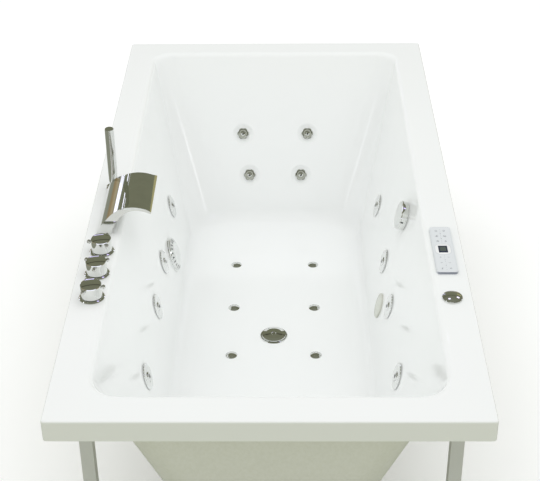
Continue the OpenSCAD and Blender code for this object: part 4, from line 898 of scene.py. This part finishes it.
def shell(looks):
    """The tub's shell: acrylic on the bather's side, laminate behind."""
    rings, behind = shell_rings()
    n = len(rings[0])
    points = [p for ring in rings for p in ring]
    faces = [
        (k * n + j, (k + 1) * n + j, (k + 1) * n + (j + 1) % n, k * n + (j + 1) % n)
        for k in range(len(rings) - 1) for j in range(n)
    ]
    last = (len(rings) - 1) * n
    faces += [tuple(range(n)), tuple(last + j for j in reversed(range(n)))]
    sheets = [looks["acrylic"], looks["laminate"]]
    tub = mesh_object("tub_acrylic_shell", points, faces, sheets, slot="acrylic")
    for index, polygon in enumerate(tub.data.polygons):
        is_behind = index < (behind - 1) * n or index == len(faces) - 2
        polygon.material_index = 1 if is_behind else 0
    sunk = Matrix.Translation((0, 0, -DIMPLE_DEPTH))
    dishes = [joined("dish", [dimple_cutter(on_backrest(*jet) @ sunk)]) for jet in BACK_JETS]
    holes = [joined("hole", [cutter]) for cutter in shell_cutters()]
    for piece in dishes + holes:
        smooth(piece)
    cut(tub, dishes + holes)
    smooth(tub, angle=28)
    weighted_normals(tub)
    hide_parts("tub_shell")


# ---------------------------------------------------------------------------
# Spout

SPOUT_BACK = -0.424
SPOUT_Y = -0.115
SPOUT_REACH = 0.1345
# Side view as (distance from the back, height): control points of the outer and the inner curve
SPOUT_OUTER = [(0, 0), (0.019, 0.050), (0.074, 0.085), (SPOUT_REACH, 0.054)]
SPOUT_INNER = [(0.038, 0), (0.042, 0.040), (0.074, 0.072), (SPOUT_REACH - 0.001, 0.0505)]
SPOUT_STEPS = 72
SPOUT_HALF = 0.085
SPOUT_FOOT_HALF = 0.101
# Heights between which the foot narrows to the sheet's width
SPOUT_SHOULDER = (0.037, 0.059)
SPOUT_EDGE = 0.9 * MM
# The front view starts this far under the deck, and ends well above the arch
SPOUT_SINK = 0.001
SPOUT_CLEAR = 0.1
# Shank as (radius, height) pairs, and its distance from the spout's back
SHANK_PROFILE = [(0, -0.060), (0.0118, -0.060), (0.013, -0.0588), (0.013, -0.0005), (0, -0.0005)]
SHANK_FORWARD = 0.019


def cubic(handles, t):
    """Point of a cubic curve through its first and last handles."""
    p = [Vector(h) for h in handles]
    u = 1 - t
    return p[0] * u ** 3 + p[1] * (3 * u * u * t) + p[2] * (3 * u * t * t) + p[3] * t ** 3


def prism(outline_points, low, high, place):
    """Prism of an outline between two heights, with a function from (u, v, height) to a point."""
    n = len(outline_points)
    points = [place(u, v, height) for height in (low, high) for u, v in outline_points]
    faces = [tuple(reversed(range(n))), tuple(range(n, 2 * n))]
    faces += [(j, (j + 1) % n, n + (j + 1) % n, n + j) for j in range(n)]
    return points, faces


def spout(looks):
    """Waterfall spout on its threaded shank, smooth over its arch, with a fine edge radius."""
    steps = SPOUT_STEPS
    side = [cubic(SPOUT_OUTER, i / steps) for i in range(steps + 1)]
    side += [cubic(SPOUT_INNER, i / steps) for i in range(steps, -1, -1)]
    arch = prism(
        [tuple(p) for p in side], -SPOUT_FOOT_HALF, SPOUT_FOOT_HALF,
        lambda u, v, h: Vector((SPOUT_BACK + u, SPOUT_Y + h, DECK_Z + v)),
    )
    low, high = SPOUT_SHOULDER
    half, foot_half = SPOUT_HALF, SPOUT_FOOT_HALF
    front = [
        (-foot_half, -SPOUT_SINK), (foot_half, -SPOUT_SINK), (foot_half, low), (half, high),
        (half, SPOUT_CLEAR), (-half, SPOUT_CLEAR), (-half, high), (-foot_half, low),
    ]
    silhouette = prism(
        front, -0.01, SPOUT_REACH + 0.01,
        lambda u, v, h: Vector((SPOUT_BACK + h, SPOUT_Y + u, DECK_Z + v)),
    )
    body = mesh_object("spout_arch", *arch, [looks["chrome"]], slot="chrome")
    smooth(body)
    other = joined("silhouette", [silhouette])
    smooth(other)
    cut(body, [other], "INTERSECT")
    bevelled(body, SPOUT_EDGE, segments=3, angle=25)
    smooth(body, angle=32)
    weighted_normals(body)
    turning = turned(SHANK_PROFILE, on_deck(SPOUT_BACK + SHANK_FORWARD, SPOUT_Y))
    shank = mesh_object("spout_shank", *turning, [looks["brass"]], slot="chrome")
    smooth(shank)
    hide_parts("spout")


# ---------------------------------------------------------------------------
# Panel's print

# Size of an icon, and width and thickness of its printed lines
ICON = 0.0066
STROKE = 0.00085
PRINT_T = 0.00012
# The print's middle from the panel's, and the display's from the print's
PRINT_SHIFT = -0.0008
DISPLAY_SHIFT = (-0.0005, -0.0015)
# Places along the panel of the rows of icons, the dots between them and the ticks beside them
ICON_ROWS = [
    (0.0790, "power", "light"), (0.0557, "bubbles", "wave"), (0.0333, "timer", "drop"),
    (-0.0351, "plus", "minus"), (-0.0581, "up", "down"), (-0.0815, "note", "fan"),
]
ICON_ACROSS = 0.0094
DOT_ROWS = [0.0671, 0.0443, -0.0226, -0.0466, -0.0698]
DOT_R = 0.0012
TICK_ROWS = [
    0.0835, 0.0745, 0.0600, 0.0515, 0.0370, 0.0300,
    -0.0300, -0.0385, -0.0540, -0.0635, -0.0765, -0.0860,
]
TICK = [(0, -0.35), (0, 0.35)]
TICK_SIZE = 0.0045
TICK_WIDTH = 0.0005
# Name, size, corner radius, thickness and material of the display's plates, each on the panel
DISPLAY_PLATES = [
    ("display_halo", (0.0395, 0.0470), 0.0150, 0.0002, "print_pale"),
    ("display_ring", (0.0355, 0.0430), 0.0130, 0.0003, "print_white"),
    ("display_glass", (0.0215, 0.0288), 0.0012, 0.0006, "display_glass"),
    ("display_window", (0.0145, 0.0165), 0.0008, 0.0007, "display_window"),
]
# Bevel of a plate's edge, as a share of its thickness
PLATE_EDGE = 0.35


def arc(cx, cy, r, start, end, steps=10):
    """Points of an arc between two angles in degrees."""
    return [
        (cx + r * math.cos(math.radians(a)), cy + r * math.sin(math.radians(a)))
        for a in (start + (end - start) * i / steps for i in range(steps + 1))
    ]


def icon_strokes(kind):
    """Strokes of a generic icon in a square from -1 to 1."""
    ring = (0, 360)
    return {
        "power": [arc(0, -0.1, 0.8, 130, 410), [(0, 0.1), (0, 1)]],
        "light": [
            arc(0, 0.25, 0.6, -50, 230), [(-0.35, -0.6), (0.35, -0.6)],
            [(-0.25, -0.9), (0.25, -0.9)],
        ],
        "bubbles": [
            arc(-0.45, -0.4, 0.4, *ring), arc(0.5, -0.1, 0.3, *ring), arc(-0.05, 0.6, 0.25, *ring),
        ],
        "wave": [
            [(x / 6, middle + 0.3 * math.sin(x)) for x in range(-6, 7)] for middle in (0.35, -0.45)
        ],
        "timer": [arc(0, 0, 0.85, *ring, steps=16), [(0, 0.5), (0, 0), (0.4, 0)]],
        "drop": [arc(0, -0.3, 0.55, -200, 20), [(-0.5, -0.1), (0, 0.95), (0.5, -0.1)]],
        "plus": [[(-0.7, 0), (0.7, 0)], [(0, -0.7), (0, 0.7)]],
        "minus": [[(-0.7, 0), (0.7, 0)]],
        "up": [[(-0.7, -0.3), (0, 0.5), (0.7, -0.3)]],
        "down": [[(-0.7, 0.3), (0, -0.5), (0.7, 0.3)]],
        "note": [arc(-0.3, -0.6, 0.3, *ring), [(0, -0.6), (0, 0.8), (0.6, 0.5)]],
        "fan": [
            arc(0, 0, 0.25, *ring), [(0, 0.3), (0.3, 0.9)], [(0.28, -0.1), (0.9, -0.4)],
            [(-0.28, -0.1), (-0.75, -0.65)],
        ],
    }[kind]


def ribbon(stroke, centre, size, width, z):
    """Flat printed line along a stroke: a prism for each length, let out at both its ends."""
    pieces = []
    cx, cy = centre
    for (x0, y0), (x1, y1) in zip(stroke, stroke[1:]):
        a, b = Vector((x0, y0)) * size, Vector((x1, y1)) * size
        direction = (b - a).normalized()
        a, b = a - direction * width / 3, b + direction * width / 3
        across = Vector((-direction.y, direction.x)) * width / 2
        corners = [a + across, a - across, b - across, b + across]
        pieces.append(prism(
            [(p.x, p.y) for p in corners], 0, PRINT_T,
            lambda u, v, h: Vector((cx + u, cy + v, z + h)),
        ))
    return pieces


def dot(centre, radius, z):
    """Flat printed dot with twelve sides."""
    return prism(
        arc(0, 0, radius, 0, 330, steps=11), 0, PRINT_T,
        lambda u, v, h: Vector((centre[0] + u, centre[1] + v, z + h)),
    )


def plate(name, centre, size, corner, thickness, z, look):
    """Thin plate of the panel's face with rounded corners."""
    half = (size[0] / 2, size[1] / 2)
    slab = prism(
        outline(half[0], -half[1], half[1], corner, corner, steps=6), 0, thickness,
        lambda u, v, h: Vector((centre[0] + u, centre[1] + v, z + h)),
    )
    obj = mesh_object(name, *slab, [look], slot="panel_face")
    bevelled(obj, thickness * PLATE_EDGE, segments=2, angle=30)
    smooth(obj, angle=35)


def panel_print(looks):
    """Icons with dots and ticks between them, and the display in its ring."""
    x, y = PANEL[0] + PRINT_SHIFT, PANEL[1]
    z = DECK_Z + PANEL_TOP
    strokes = []
    for row, *kinds in ICON_ROWS:
        for across, kind in zip((-ICON_ACROSS, ICON_ACROSS), kinds):
            for stroke in icon_strokes(kind):
                strokes += ribbon(stroke, (x + across, y + row), ICON / 2, STROKE, z)
    for row in DOT_ROWS:
        strokes.append(dot((x, y + row), DOT_R, z))
    for row in TICK_ROWS:
        strokes += ribbon(TICK, (x, y + row), TICK_SIZE, TICK_WIDTH, z)
    icons = joined("panel_icons", strokes)
    icons.data.materials.append(looks["print_grey"])
    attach(icons, "tub")
    centre = (x + DISPLAY_SHIFT[0], y + DISPLAY_SHIFT[1])
    for name, size, corner, thickness, look in DISPLAY_PLATES:
        plate(name, centre, size, corner, thickness, z, looks[look])


# ---------------------------------------------------------------------------


def main():
    looks = materials()
    photo_camera()
    studio()
    dress_frame(looks)
    shell(looks)
    spout(looks)
    panel_print(looks)


main()
